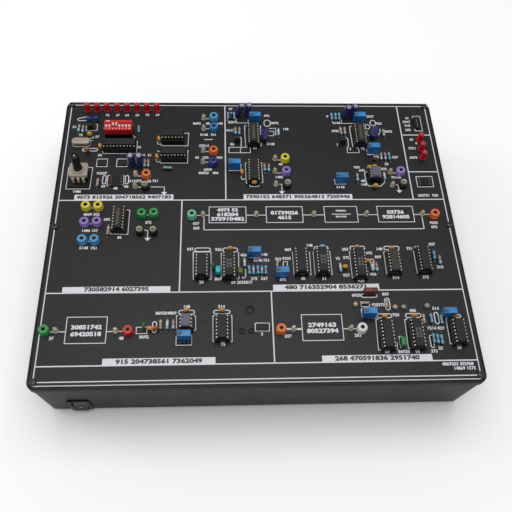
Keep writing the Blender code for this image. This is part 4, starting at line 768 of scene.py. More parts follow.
# Printed outlines, arrows and figures round the parts, in ten-thousandths of the field
BRACKETS = (
    (3100, 1290, 3100, 1026, 3450, 1026, 3450, 1290), (2180, 1592, 2180, 1393, 2425, 1393, 2425, 1592, 2180, 1592),
    (9599, 8875, 9809, 8875, 9809, 9544, 9599, 9544, 9599, 8875), (4591, 9302, 4590, 9211, 4914, 9213, 4917, 9364),
    (4336, 9372, 4366, 9250, 4559, 9251, 4586, 9403), (4892, 9092, 4818, 9092, 4811, 9042, 4825, 8198, 4910, 8198),
    (5057, 8198, 5246, 8199, 5262, 8334), (5254, 9104, 5242, 8686), (5463, 8647, 5611, 8648, 5618, 8846, 5494, 8845),
    (5498, 8965, 5673, 8985, 5667, 8668), (4679, 8606, 4709, 8527, 4703, 8178),
    (4368, 8139, 4684, 8140, 4680, 7911, 4366, 7910, 4368, 8139), (4684, 8140, 4952, 8140, 4947, 7911, 4680, 7911),
    (7548, 9378, 7534, 9205, 7864, 9206), (7271, 9315, 7314, 9214, 7491, 9215),
    (7833, 9075, 7764, 9074, 7752, 9014, 7774, 8164), (7869, 8184, 8185, 8184),
    (7851, 8126, 7924, 8116, 7925, 7914, 7599, 7913, 7618, 8145), (7616, 8575, 7661, 8516, 7653, 8203, 7604, 8125),
    (8135, 8049, 8147, 7847, 8442, 7838), (8267, 8656, 8200, 8735, 8230, 8855), (8600, 8957, 8608, 8856, 8527, 8677),
    (3452, 4066, 3891, 4061, 3892, 3120, 3464, 3126, 3452, 4066), (4144, 4027, 4140, 3132, 4564, 3127, 4567, 4054),
    (4732, 3445, 4727, 3200, 4676, 3131, 4634, 3202), (5556, 3707, 5516, 3699, 5510, 3559),
    (5653, 3557, 5666, 3706, 5759, 3705, 5756, 3556), (5940, 4040, 5903, 4041, 5908, 3246, 5945, 3246),
    (6308, 4037, 6329, 4020, 6323, 3241, 6283, 3242), (6453, 4035, 6419, 4035, 6425, 3240, 6458, 3239),
    (6567, 4242, 6464, 4211, 6448, 4131, 6488, 4067), (4817, 3863, 5103, 3844),
    (6816, 4059, 6839, 4041, 6843, 3250, 6800, 3234), (6630, 4226, 6790, 4224, 6821, 4129),
    (7382, 4053, 7331, 4029, 7329, 3136, 7381, 3125), (7678, 3122, 7720, 3128, 7730, 3341),
    (8249, 4044, 8191, 4020, 8188, 3250, 8225, 3233), (9004, 4072, 8951, 4047, 8951, 3258, 8994, 3250),
    (9043, 4220, 8992, 4178, 9003, 4107), (3129, 1938, 3090, 1938, 3099, 1536),
    (3485, 1948, 3531, 1931, 3541, 1482, 3491, 1474), (3134, 1201, 3137, 1081, 3446, 1075, 3443, 1347),
    (3980, 1939, 3939, 1924, 3939, 1126, 3980, 1125), (4350, 1933, 4380, 1917, 4380, 1118, 4341, 1119),
    (4922, 1674, 5252, 1668, 5243, 1421, 4916, 1427, 4922, 1674), (5642, 1491, 5745, 1489), (5884, 1487, 5988, 1485),
    (7476, 2101, 7451, 2065, 7454, 1809, 7776, 1786), (7828, 1760, 7767, 1743, 7735, 797, 7795, 789),
    (8190, 1014, 8174, 806, 8124, 783), (8305, 1204, 8251, 1195, 8253, 873, 8292, 866),
    (8518, 1748, 8453, 1727, 8435, 835, 8473, 828), (9502, 1768, 9443, 1740, 9436, 955, 9475, 948),
    (474, 9112, 467, 8846, 765, 8862, 767, 9137, 718, 9143), (446, 9472, 233, 9395, 197, 9344, 259, 9290, 441, 9306),
    (869, 7645, 1134, 7646, 1137, 7327, 856, 7328, 869, 7645),
    (1390, 7646, 1647, 7646, 1664, 7327, 1382, 7327, 1390, 7646),
    (169, 7292, 143, 7287, 141, 6435, 749, 6433, 771, 7292, 657, 7300),
    (1186, 6973, 1604, 6972, 1609, 6557, 1183, 6558, 1186, 6973),
    (971, 7968, 1013, 7870, 1884, 7870, 1887, 8384, 1850, 8407), (1723, 9148, 1720, 8733),
    (1754, 8646, 1805, 8602, 1797, 8506), (674, 8613, 699, 8526, 592, 8511), (599, 8425, 680, 8416),
    (3146, 8747, 3274, 8753, 3255, 8200, 2538, 8207, 2519, 8328), (2426, 8400, 2439, 8285, 2507, 8256),
    (3217, 8028, 3259, 7994, 3258, 7473, 2538, 7478, 2524, 7632), (2403, 7632, 2457, 7501, 2518, 7548),
    (2440, 7990, 2499, 7950), (3689, 8476, 3927, 8477), (4687, 7430, 4674, 7162, 4362, 7162),
    (4841, 7472, 4799, 7467, 4812, 6655, 4847, 6649), (5214, 7486, 5239, 7478, 5251, 6681, 5186, 6648),
    (4877, 6644, 4915, 6515, 5126, 6514, 5167, 6608), (4688, 6948, 4683, 6844, 4721, 6793, 4784, 6839),
    (8138, 7998, 8147, 7823, 8445, 7843), (7161, 6795, 7161, 6602, 7461, 6607),
    (8153, 7235, 7989, 7038, 8008, 6628, 8065, 6528, 8382, 6518, 8500, 6667, 8519, 7043),
    (9371, 6906, 9806, 6915, 9804, 6492, 9370, 6484, 9371, 6906),
    (1717, 5619, 1825, 5608, 1820, 4710, 1390, 4728, 1397, 4821), (1315, 5058, 1355, 4987, 1350, 4751),
)
STADIUMS = (
    (0.3684, 0.4142, 10.9, 2.9), (0.4364, 0.4128, 10.5, 3.3), (0.7541, 0.4166, 10.7, 2.9),
    (0.7868, 0.3578, 2.4, 8.8), (0.8404, 0.4157, 11.1, 2.9), (0.768, 0.2518, 11.0, 2.6),
    (0.2592, 0.1591, 2.6, 7.8), (0.3323, 0.2044, 10.6, 2.9), (0.4146, 0.2039, 10.9, 2.6),
    (0.7559, 0.2211, 6.3, 2.6), (0.8096, 0.224, 3.2, 9.0), (0.9227, 0.1762, 2.7, 8.5), (0.9014, 0.1033, 2.2, 8.9),
    (0.7977, 0.1855, 10.4, 2.9), (0.8673, 0.1853, 10.6, 3.0), (0.9632, 0.1819, 10.2, 2.1),
    (0.0643, 0.8033, 11.6, 2.6), (0.1102, 0.6798, 2.5, 7.7), (0.1688, 0.6797, 2.5, 7.7),
    (0.5444, 0.9205, 5.0, 6.6), (0.8431, 0.9229, 4.4, 5.7), (0.8262, 0.9056, 3.6, 4.7),
)
ARROWS = (
    (2318, 6507, 2677, 6506, 2671, 6302), (5680, 6607, 5751, 6606, 5739, 6325), (8793, 6573, 8845, 6566, 8856, 6356),
    (2221, 4862, 2308, 4847, 2313, 4580),
)
LABELS = (
    ("37", 275, 1280), ("48", 1850, 1257), ("8692", 2366, 1287), ("10", 9423, 9445), ("2047", 9394, 9280),
    ("318", 9403, 9110), ("205", 9399, 8916), ("69", 9445, 8480), ("0", 9560, 8320), ("692", 5440, 9540),
    ("8692", 5660, 9210), ("4869", 4410, 8870), ("148", 5950, 8940), ("5148", 5510, 8280), ("0", 7160, 9520),
    ("2037", 8380, 9520), ("920", 8600, 9200), ("6920", 7340, 8860), ("8692", 8830, 8840), ("1", 7350, 8260),
    ("5148", 7400, 9220), ("3", 7690, 8070), ("037", 3380, 4160), ("20", 3660, 3020), ("920", 4070, 4140),
    ("69 2035817", 4630, 2999), ("869", 4060, 3120), ("486", 4690, 3940), ("148", 5200, 3950), ("5148", 5040, 3750),
    ("751", 5250, 3750), ("375", 4930, 3120), ("037", 5180, 3120), ("203", 5540, 3790), ("9203", 5750, 3810),
    ("692", 5630, 3080), ("869", 5800, 4120), ("48", 6120, 3110), ("148", 6340, 4270), ("51", 6640, 3100),
    ("75", 7020, 3790), ("375", 7230, 3820), ("037", 7190, 3210), ("203", 7230, 4120), ("920", 7530, 3020),
    ("692", 7820, 3980), ("869", 8030, 3840), ("486", 7850, 3240), ("148", 8090, 4120), ("514", 8400, 3110),
    ("751", 8860, 4130), ("375", 9140, 3120), ("037", 9450, 4280), ("203", 9550, 3470), ("86920", 2740, 2020),
    ("4869", 2980, 2020), ("148", 3320, 2220), ("514", 4140, 2210), ("75", 4170, 1030), ("3", 5070, 1330),
    ("037", 5670, 1250), ("203", 7300, 1250), ("920", 8260, 1880), ("69", 7930, 730), ("86920", 8320, 730),
    ("486", 8680, 2010), ("14", 8630, 720), ("514", 9240, 2070), ("7514 029", 9160, 1440), ("375", 9030, 730),
    ("03", 9190, 820), ("20", 9630, 830), ("920375", 7870, 2210), ("6920", 7370, 2530), ("869", 8080, 2560),
    ("4869203 302968", 9520, 340), ("14869 1573", 9660, 210), ("51", 150, 9010), ("75", 350, 8660), ("37", 790, 8580),
    ("03", 920, 7800), ("20", 1940, 8140), ("92037", 1020, 7050), ("69", 1090, 6530), ("86", 1690, 6520),
    ("48", 1410, 6450), ("1486", 430, 6330), ("514", 1830, 6740), ("75", 1010, 9540), ("37", 1290, 9540),
    ("03", 1550, 9540), ("20", 1830, 9550), ("92", 2110, 9560), ("69", 2390, 9560), ("8692", 3490, 9180),
    ("48", 3790, 9180), ("148", 4120, 9180), ("5148", 3690, 8680), ("751", 3950, 8680), ("37514", 3690, 8200),
    ("03", 3510, 7700), ("203", 3740, 7700), ("920", 4110, 7700), ("6920", 3800, 7200), ("86920", 3690, 7060),
    ("486", 4000, 7060), ("14", 2060, 7800), ("51", 2240, 7800), ("751", 2430, 6740), ("375", 2000, 6740),
    ("03", 2270, 6730), ("2037", 4460, 9240), ("9203", 4410, 8880), ("69", 4430, 9850), ("86", 4460, 8270),
    ("48", 5750, 7420), ("1486", 5690, 6890), ("51", 5080, 8100), ("75", 8040, 8080), ("375", 8380, 7730),
    ("037", 8900, 7710), ("20", 8630, 7430), ("920", 7800, 7290), ("692", 7930, 7160), ("8692", 8510, 7220),
    ("48", 7920, 6730), ("148", 7930, 6580), ("5148", 7300, 6480), ("75148", 8830, 6870), ("3751", 9420, 8100),
    ("0375", 9410, 7700), ("203751", 9490, 6140), ("920", 9790, 6140), ("692", 1270, 5260), ("86", 1620, 4600),
    ("4869 302", 870, 5450), ("1486 157", 870, 4850), ("5148", 770, 4230), ("751", 1020, 4220), ("375", 2310, 5140),
    ("037", 3510, 5090), ("203", 3520, 4920), ("9203", 9610, 5080), ("692", 9600, 4920),
)


# Sub-assemblies

@dataclass
class Case:
    """The drafted tub, the rim round the panel, the rubber feet and the panel screws."""
    step: float = 0.8 * MM
    draft: float = 2.8 * MM
    wall: float = 2.6 * MM
    corner: float = 5.5 * MM
    lip: float = 1.3 * MM
    lip_depth: float = 0.7 * MM + 0.0003
    reach: float = 6.4 * MM
    ledge: float = 2.0 * MM
    skirt: float = 2.1 * MM
    edge: float = 0.5 * MM
    head: float = 2.5 * MM
    crown: float = 1.7 * MM
    seam: float = 0.3 * MM
    hair: float = 0.01 * MM

    def tub(self) -> None:
        """Models the tub from a block: tapered, rounded, hollowed and cut out."""
        low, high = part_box("case_rim")
        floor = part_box("case_base")[0].z
        half_x, half_y = high.x - self.step, high.y - self.step
        tub = Bench.rounded("case_tub", (low.x + self.step, low.y + self.step, floor),
                            (half_x, half_y, low.z - self.seam), self.corner - self.step, 8)
        Bench.taper(tub, 1 - self.draft / half_x, 1 - self.draft / half_y, (0, 0, floor))
        Bench.edit(tub)
        Bench.pick_edges(tub, lambda a, b: max(a.z, b.z) < floor + 0.1 * MM)
        bpy.ops.mesh.bevel(offset=0.4 * MM, segments=3, affect="EDGES")
        Bench.pick(tub, up)
        bpy.ops.mesh.delete(type="FACE")
        Bench.done()
        shell = tub.modifiers.new("wall", "SOLIDIFY")
        shell.thickness = self.wall
        shell.offset = -1.0
        Bench.hold(tub)
        bpy.ops.object.modifier_apply(modifier=shell.name)
        for name in ("switch_housing", "power_inlet"):
            a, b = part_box(name)
            front = name == "switch_housing"
            inset = 1.2 * MM if front else 2.2 * MM
            tool = Bench.block("cutout", (a.x + inset, a.y - 5 * MM if front else 0.11, a.z + inset),
                               (b.x - inset, -0.11 if front else b.y + 5 * MM, b.z - inset))
            Bench.cut(tub, tool)
        for corner in CORNERS:
            a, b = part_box(f"foot_{corner}")
            radius = (b.x - a.x) / 2 + 0.3 * MM
            tool = Bench.turned("recess", [(radius, -MM), (radius, 3.9 * MM)])
            Bench.cut(tub, Bench.put(tool, over(f"foot_{corner}", 0)))
        Bench.smooth(tub, 30)
        settle(Bench.dress(tub, Finish.CASE), stands_for=("case_base",))

    def rim(self) -> None:
        """Models the rim from a block: lip, ledge and skirt drawn in, then opened through."""
        low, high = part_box("case_rim")
        rim = Bench.rounded("case_rim_frame", low, high, self.corner, 8)
        Bench.edit(rim)
        Bench.pick(rim, up)
        bpy.ops.mesh.inset(thickness=self.lip)
        Bench.pull((0, 0, -self.lip_depth - (high.z - low.z - self.ledge - self.lip_depth) * 0.4))
        bpy.ops.mesh.inset(thickness=self.reach - self.lip)
        bpy.ops.mesh.delete(type="FACE")
        Bench.pick(rim, lambda middle, normal: down(middle, normal) and middle.z < low.z + self.hair)
        bpy.ops.mesh.inset(thickness=self.skirt)
        Bench.pull((0, 0, (high.z - low.z) * 0.45))
        bpy.ops.mesh.inset(thickness=self.reach - self.skirt)
        bpy.ops.mesh.delete(type="FACE")
        Bench.pick_edges(rim, lambda a, b: False)
        bpy.ops.mesh.select_non_manifold(extend=False)
        bpy.ops.mesh.bridge_edge_loops()
        Bench.pick_edges(rim, lambda a, b: self.outer(a, b, high))
        bpy.ops.mesh.bevel(offset=self.edge, segments=3, affect="EDGES")
        Bench.done()
        Bench.smooth(rim, 30)
        settle(Bench.dress(rim, Finish.CASE), stands_for=("case_rim",))

    def outer(self, a: Vector, b: Vector, high: Vector) -> bool:
        """Whether an edge lies along the rim's upper outline, straight or round a corner."""
        if min(a.z, b.z) <= high.z - self.hair:
            return False
        if max(abs(a.x), abs(b.x)) > high.x - self.hair or max(abs(a.y), abs(b.y)) > high.y - self.hair:
            return True
        out = Vector((abs(a.x) - high.x + self.corner, abs(a.y) - high.y + self.corner))
        return min(out) > 0 and out.length > self.corner - 0.05 * MM

    def feet(self) -> None:
        """Turns one foot with a hollow in its sole, and copies it."""
        low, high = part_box("foot_front_left")
        radius = (high.x - low.x) / 2
        height = high.z - low.z
        pattern = Bench.turned("foot", [(radius * 0.45, 0.5 * MM), (radius * 0.5, 0.0), (radius - 1.0 * MM, 0.0),
                                        (radius - 0.3 * MM, 0.3 * MM), (radius, 1.0 * MM), (radius, height)], 40)
        Bench.dress(pattern, Finish.RUBBER)
        for corner in CORNERS:
            name = f"foot_{corner}"
            settle(Bench.copy(pattern, f"{name}_pad", over(name, 0)), stands_for=(name,))
        Bench.drop(pattern)

    def screws(self) -> None:
        """Makes one pan-head screw with a cross recess, and copies it, each turned its own way."""
        head = self.head
        low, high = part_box("panel_screw_front_left")
        shank = self.crown - (high.z - low.z)
        pattern = Bench.turned("screw", [(0.5 * MM, shank), (1.25 * MM, shank + 2 * MM), mm(1.25, 0.1),
                                         (head, 0.1 * MM), (head, self.crown * 0.35), (head * 0.93, self.crown * 0.62),
                                         (head * 0.76, self.crown * 0.86), (head * 0.45, self.crown)], 28)
        for turn in (0, 90):
            arm = Bench.block("arm", (-head * 0.56, -0.24 * MM, self.crown - 0.9 * MM),
                              (head * 0.56, 0.24 * MM, self.crown + 1 * MM))
            Bench.cut(pattern, Bench.turn(arm, "Z", turn))
        Bench.dress(pattern, Finish.SCREW)
        for number, corner in enumerate((*CORNERS, "middle_left", "middle_right")):
            name = f"panel_screw_{corner}"
            place = over(name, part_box(name)[1].z - self.crown)
            turn = Matrix.Rotation(math.radians(number * 37), 4, "Z")
            screw = Bench.copy(pattern, f"{name}_driven", place @ turn)
            settle(Bench.smooth(screw), stands_for=(name,))
        Bench.drop(pattern)

    def build(self) -> None:
        """Builds the whole case."""
        self.tub()
        self.rim()
        self.feet()
        self.screws()


@dataclass
class Panel:
    """The black board and everything printed on it."""
    margin: float = 2.6 * MM
    thickness: float = 1.6 * MM
    corner: float = 3.6 * MM
    border_line: float = 1.15 * MM
    row_line: float = 1.0 * MM
    box_line: float = 0.85 * MM
    fine_line: float = 0.80 * MM
    link_line: float = 0.74 * MM
    figure: float = 3.1 * MM
    word: float = 4.15 * MM
    head: Share = mm(2.3, 2.6)
    rows: tuple = (0.599, 0.270, 0.045)
    uprights: tuple = ((0.427, 0.599, 1.0), (0.919, 0.599, 1.0), (0.314, 0.270, 0.599), (0.533, 0.045, 0.270))
    strips: tuple = (
        (0.039, 0.2915, 0.600, 0.6205, "4073 815926 304718562 9407183", 0.96),
        (0.473, 0.758, 0.600, 0.6205, "7390152 648371 905264813 7205946", 0.96),
        (0.0385, 0.2925, 0.272, 0.290, "730582914 6027395", 0.60),
        (0.538, 0.7955, 0.272, 0.2915, "480 716352904 8536271", 0.77),
        (0.147, 0.3995, 0.045, 0.0655, "915 204738561 7362049", 0.77),
        (0.6415, 0.8955, 0.045, 0.065, "268 470591836 2951740", 0.77))
    boxes: tuple = (
        (0.384, 0.478, 0.512, 0.572, (("4073 52", 0.58, 0.20), ("618204", 0.58, 0.49), ("375910482", 0.90, 0.77))),
        (0.530, 0.6235, 0.512, 0.572, (("81739026", 0.76, 0.40), ("4615", 0.38, 0.70))),
        (0.680, 0.7655, 0.512, 0.572, (("730594", 0.31, 0.28), ("8261903", 0.33, 0.65))),
        (0.8185, 0.912, 0.512, 0.572, (("50736", 0.48, 0.38), ("92814605", 0.76, 0.68))),
        (0.058, 0.150, 0.112, 0.193, (("30851742", 0.76, 0.40), ("69420518", 0.76, 0.66))),
        (0.601, 0.696, 0.111, 0.192, (("2749163", 0.70, 0.41), ("80527394", 0.78, 0.64))))
    path: tuple = ((0.3405, 0.384, 0.540), (0.478, 0.530, 0.540), (0.6235, 0.680, 0.540), (0.7655, 0.8185, 0.540),
                   (0.912, 0.9645, 0.540), (0.371, 0.933, 0.486), (0.0155, 0.058, 0.148), (0.150, 0.204, 0.147),
                   (0.549, 0.601, 0.146), (0.696, 0.740, 0.146), (0.699, 0.748, 0.5425))
    links: tuple = ((0.193, 0.2195, 0.6945), (0.368, 0.396, 0.940), (0.368, 0.396, 0.895), (0.368, 0.396, 0.7955),
                    (0.368, 0.394, 0.7505), (0.560, 0.587, 0.760), (0.558, 0.588, 0.706), (0.868, 0.895, 0.7055),
                    (0.0725, 0.1035, 0.570), (0.0735, 0.1045, 0.5105), (0.073, 0.103, 0.447), (0.214, 0.2445, 0.542),
                    (0.194, 0.218, 0.650))

    def board(self) -> None:
        """Models the board: rounded at its corners, its upper and lower edges eased."""
        low = FIELD.low - Vector((self.margin, self.margin, self.thickness))
        high = FIELD.high + Vector((self.margin, self.margin, 0))
        board = Bench.bevel(Bench.rounded("panel_board", low, high, self.corner, 8), 0.45 * MM, 1)
        Bench.dress(board, Finish.MASK)
        # The board's sides take the raw edge finish, made near white as a painted highlight.
        Bench.dress_where(board, Finish.EDGE, lambda middle, normal: abs(normal.z) < 0.6 or normal.y < -0.5)
        settle(Bench.smooth(board, 30), stands_for=("circuit_panel",))

    def rectangle(self, left: float, right: float, front: float, back: float) -> list[Vector]:
        """Corner points of a printed rectangle, from shares."""
        return [FIELD.spot(place) for place in ((left, front), (right, front), (right, back), (left, back))]

    def stadium(self, centre: Vector, width: float, depth: float, steps: int = 8) -> list[Vector]:
        """Points round a printed outline with two straight sides and two round ends."""
        radius = min(width, depth) / 2
        run = Vector((max(width - depth, 0) / 2, max(depth - width, 0) / 2, 0))
        points = []
        for end in (0, 1):
            for i in range(steps + 1):
                turn = math.radians((-90 if width > depth else 0) + 180 * i / steps + 180 * end)
                points.append(centre + run * (1 - 2 * end) + radius * Vector((math.cos(turn), math.sin(turn), 0)))
        return points

    def line(self, start: Share, end: Share, width: float) -> Object:
        """Prints a straight line between two shares."""
        return Bench.stroke([FIELD.spot(start), FIELD.spot(end)], width)

    def lines(self) -> list[Object]:
        """Prints the border, the section lines, the boxes and the signal path."""
        made = [Bench.stroke(self.rectangle(0, 1, 0, 1), self.border_line, True)]
        made += [self.line((0, row), (1, row), self.row_line) for row in self.rows]
        made += [self.line((x, front), (x, back), self.row_line) for x, front, back in self.uprights]
        made += [self.line((0.919, row), (1, row), self.row_line) for row in (0.869, 0.7105)]
        made += [Bench.stroke(self.rectangle(*box[:4]), self.box_line, True) for box in self.boxes]
        made += [self.line((a, y), (b, y), self.link_line) for a, b, y in self.path + self.links]
        made += [self.line((x, 0.486), (x, 0.540), self.link_line) for x in (0.371, 0.933)]
        return made

    def arrows(self) -> list[Object]:
        """Prints the ground arrows: a stem with a filled head."""
        half, length = self.head
        made = []
        for stem in map(traced, ARROWS):
            made.append(Bench.stroke(stem, self.fine_line))
            tip = Bench.turned("head", [(1.0, -PRINT_RISE), (1.0, PRINT_RISE)], 3)
            about = Matrix.Translation(stem[-1] - Vector((0, length / 3, 0)))
            tip.data.transform(about @ Matrix.Rotation(math.pi, 4, "Z")
                               @ Matrix.Diagonal((half / 0.866, length / 1.5, 1.0, 1.0)))
            made.append(tip)
        return made

    def outlined(self) -> list[Object]:
        """Prints the brackets and outlines round parts."""
        made = [Bench.stroke(traced(line), self.fine_line) for line in BRACKETS]
        made += [Bench.stroke(self.stadium(FIELD.spot((x, y)), w * MM, d * MM), self.fine_line, True)
                 for x, y, w, d in STADIUMS]
        return made

    def fitted(self, words: str, width: float, at: Vector) -> Object:
        """Prints figures scaled to a given width."""
        size = min(self.word, width / (0.62 * len(words)))
        return Bench.digits(words, size, at, bold=0.048 * size, width=width)

    def figures(self) -> list[Object]:
        """Prints plain numbers beside parts and in boxes."""
        made = [Bench.digits(words, self.figure, *traced(place), bold=0.11 * MM) for words, *place in LABELS]
        for left, right, front, back, rows in self.boxes:
            for words, share, drop in rows:
                at = FIELD.spot(((left + right) / 2, back - (back - front) * drop))
                made.append(self.fitted(words, share * (right - left) * (FIELD.high.x - FIELD.low.x), at))
        return made

    def build(self) -> None:
        """Builds the board and its print."""
        self.board()
        settle(Bench.dress(Bench.join("printed_lines", self.lines() + self.arrows() + self.outlined()), Finish.PRINT))
        settle(Bench.dress(Bench.join("printed_figures", self.figures()), Finish.PRINT))
        strips = []
        words = []
        for left, right, front, back, text, share in self.strips:
            a, b = FIELD.spot((left, front), -PRINT_RISE), FIELD.spot((right, back), PRINT_RISE * 1.5)
            strips.append(Bench.rounded("strip", a, b, 0.4 * MM, 2))
            words.append(self.fitted(text, share * (b.x - a.x), (a + b) / 2 + Vector((0, 0, PRINT_RISE * 1.6))))
        settle(Bench.dress(Bench.join("printed_strips", strips), Finish.PRINT))
        settle(Bench.dress(Bench.join("strip_figures", words), Finish.DARK_INK))


class Top(Enum):
    """What shows on a chip's upper face."""
    PLAIN = 0
    TAN = 1
    MARKED = 2
    BROWN = 3
    GREY = 4


# Chips: place, pins in a row, whether the rows run across the panel, and the look of the top
CHIPS = (
    (0.144, 0.812, 10, True, Top.PLAIN), (0.2845, 0.850, 7, True, Top.PLAIN), (0.2885, 0.7745, 8, True, Top.PLAIN),
    (0.504, 0.8565, 8, False, Top.TAN), (0.5015, 0.702, 8, False, Top.PLAIN), (0.798, 0.857, 8, False, Top.TAN),
    (0.158, 0.518, 8, False, Top.TAN), (0.3667, 0.349, 7, False, Top.PLAIN), (0.433, 0.351, 8, False, Top.MARKED),
    (0.609, 0.363, 8, False, Top.PLAIN), (0.6615, 0.362, 8, False, Top.MARKED), (0.7525, 0.353, 9, False, Top.MARKED),
    (0.8375, 0.3575, 7, False, Top.BROWN), (0.9135, 0.366, 8, False, Top.PLAIN), (0.332, 0.167, 4, False, Top.GREY),
    (0.4148, 0.1473, 7, False, Top.PLAIN), (0.796, 0.119, 8, False, Top.PLAIN), (0.866, 0.1205, 8, False, Top.MARKED),
    (0.9647, 0.1255, 7, False, Top.PLAIN), (0.8235, 0.690, 4, False, Top.GREY),
)
TRIMMERS = ((0.5095, 0.930), (0.451, 0.728), (0.8025, 0.931), (0.8295, 0.795), (0.7325, 0.671),
            (0.495, 0.3945), (0.561, 0.324), (0.3285, 0.1245), (0.7605, 0.187), (0.9485, 0.1845))


@dataclass
class Chips:
    """Dual in-line chips in their holders, and two empty holders."""
    pitch: float = PIN_PITCH * MM
    holder: Share = mm(10.1, 4.2)
    body: Colour = mm(6.4, 3.3, 0.35)
    leg: Colour = mm(0.5, 0.25, 7.62)
    empty: tuple = ((0.141, 0.675, 4), (0.957, 0.669, 3))
    empty_height: float = 0.9 * MM

    def holder_pattern(self, pins: int, seated: bool) -> Object:
        """A holder: a long frame with a slotted window for each pin."""
        width, height = self.holder
        height = height if seated else self.empty_height
        length = pins * self.pitch
        piece = Bench.block("holder", (-width / 2, -length / 2, 0), (width / 2, length / 2, height))
        Bench.tray(piece, 2.5, 0.3)
        Bench.bevel(piece, 0.2 * MM)
        Bench.dress(piece, Finish.HOLDER)
        contacts = []
        # Under a seated chip the contacts take the dark bore metal as painted shade beneath the legs; empty holders
        # show gold.
        half = (0.5 if seated else 0.34) * MM
        pattern = Bench.slab("contact", (-half, -half * 0.8, -0.3 * MM), (half, half * 0.8, 0.08 * MM),
                             Finish.BORE if seated else Finish.CONTACT, 0.12, 1)
        for side in (-1, 1):
            for i in range(pins):
                y = (i - (pins - 1) / 2) * self.pitch
                contacts.append(Bench.copy(pattern, "contact", Matrix.Translation((side * self.leg[2] / 2, y, height))))
        Bench.drop(pattern)
        return Bench.join("holder", [*contacts, piece])

    def chip_pattern(self, pins: int, top: Top) -> Object:
        """A chip: a drafted body with its end notch and first-pin dot, legs and any marking."""
        width, height, draft = self.body
        base = self.holder[1] + 0.4 * MM
        length = pins * self.pitch - 0.7 * MM
        piece = Bench.block("body", (-width / 2, -length / 2, base + height * 0.42),
                            (width / 2, length / 2, base + height * 0.58))
        Bench.edit(piece)
        for up in (1, -1):
            Bench.pick(piece, lambda middle, normal, up=up: normal.z * up > 0.9)
            Bench.pull((0, 0, up * height * 0.42), (1 - 2 * draft / width, 1 - 2 * draft / length, 1),
                       (0, 0, base + height / 2))
        Bench.done()
        notch = Bench.turned("notch", [(0.9 * MM, base + height - 0.5 * MM), (0.9 * MM, base + height + 1 * MM)], 20,
                             (0, length / 2 - draft, 0))
        Bench.cut(piece, notch)
        dot = Bench.turned("dot", [(0.45 * MM, base + height - 0.12 * MM), (0.45 * MM, base + height + 1 * MM)], 14,
                           (-width / 2 + 1.5 * MM, length / 2 - 2.2 * MM, 0))
        Bench.cut(piece, dot)
        Bench.bevel(piece, 0.12 * MM, 1)
        finish = {Top.BROWN: Finish.CHIP_BROWN, Top.GREY: Finish.CHIP_GREY}.get(top, Finish.CHIP)
        Bench.dress(piece, finish)
        parts = [piece]
        if top in (Top.TAN, Top.MARKED):
            parts += self.marking(base + height, length, top)
        thick, shoulder = self.leg[0], base + height * 0.45
        leg = Bench.block("leg", (width / 2 - 0.2 * MM, -0.5 * MM, shoulder),
                          (self.leg[2] / 2 - 0.12 * MM, 0.5 * MM, shoulder + self.leg[1]))
        Bench.edit(leg)
        Bench.pick(leg, lambda middle, normal: normal.x > FACING)
        Bench.pull((self.leg[1], 0, 0))
        Bench.pick(leg, lambda middle, normal: normal.z < -FACING and middle.x > self.leg[2] / 2 - 0.14 * MM)
        Bench.pull(mm(0, 0, -0.9))
        Bench.pull(mm(0, 0, -0.1), (1, thick / (1.0 * MM), 1), (0, 0, shoulder - MM))
        Bench.pull((0, 0, self.holder[1] - shoulder + 0.9 * MM))
        Bench.done()
        # Painted highlight: the legs' shoulders take the pale pin finish.
        Bench.dress(leg, Finish.PIN)
        # Painted shade: the legs below the shoulder, under the chip's edge, are given the holder's black.
        Bench.dress_where(leg, Finish.HOLDER, lambda middle, normal: middle.z < shoulder - 0.05 * MM)
        for i in range(pins):
            place = Matrix.Translation((0, (i - (pins - 1) / 2) * self.pitch, 0))
            parts.append(Bench.copy(leg, "leg", place))
            parts.append(Bench.copy(leg, "leg", place @ Matrix.Rotation(math.pi, 4, "Z")))
        Bench.drop(leg)
        return Bench.join("chip", parts[1:] + [piece])

    def marking(self, height: float, length: float, top: Top) -> list[Object]:
        """A worn marking: a tan stripe, or faint rows of figures."""
        if top is Top.TAN:
            patch = Bench.rounded("mark", (-1.1 * MM, -length * 0.38, height - 0.05 * MM),
                                  (1.1 * MM, length * 0.34, height + PRINT_RISE), 0.5 * MM, 3)
            return [Bench.dress(patch, Finish.CHIP_TAN)]
        rows = []
        for x in (-1.1, 1.1):
            row = Bench.digits("0123 45", 2.1 * MM, Vector((x * MM, -0.6 * MM, height)), 90)
            rows.append(Bench.dress(row, Finish.CHIP_MARK))
        return rows

    def build(self) -> None:
        """Builds each kind once, and copies it to its places."""
        holders = {pins: self.holder_pattern(pins, True) for pins in sorted({row[2] for row in CHIPS})}
        bodies = {kind: self.chip_pattern(*kind) for kind in sorted({(row[2], row[4]) for row in CHIPS},
                                                                    key=lambda kind: (kind[0], kind[1].value))}
        for number, (x, y, pins, across, top) in enumerate(CHIPS, start=1):
            place = standing((x, y), 90 if across else 0)
            pair = [Bench.copy(holders[pins], "holder", place), Bench.copy(bodies[pins, top], "chip", place)]
            settle(Bench.join(f"chip_{number}", pair))
        for number, (x, y, pins) in enumerate(self.empty, start=1):
            bare = self.holder_pattern(pins, False)
            settle(Bench.copy(bare, f"empty_holder_{number}", standing((x, y))))
            Bench.drop(bare)
        Bench.drop(*holders.values(), *bodies.values())


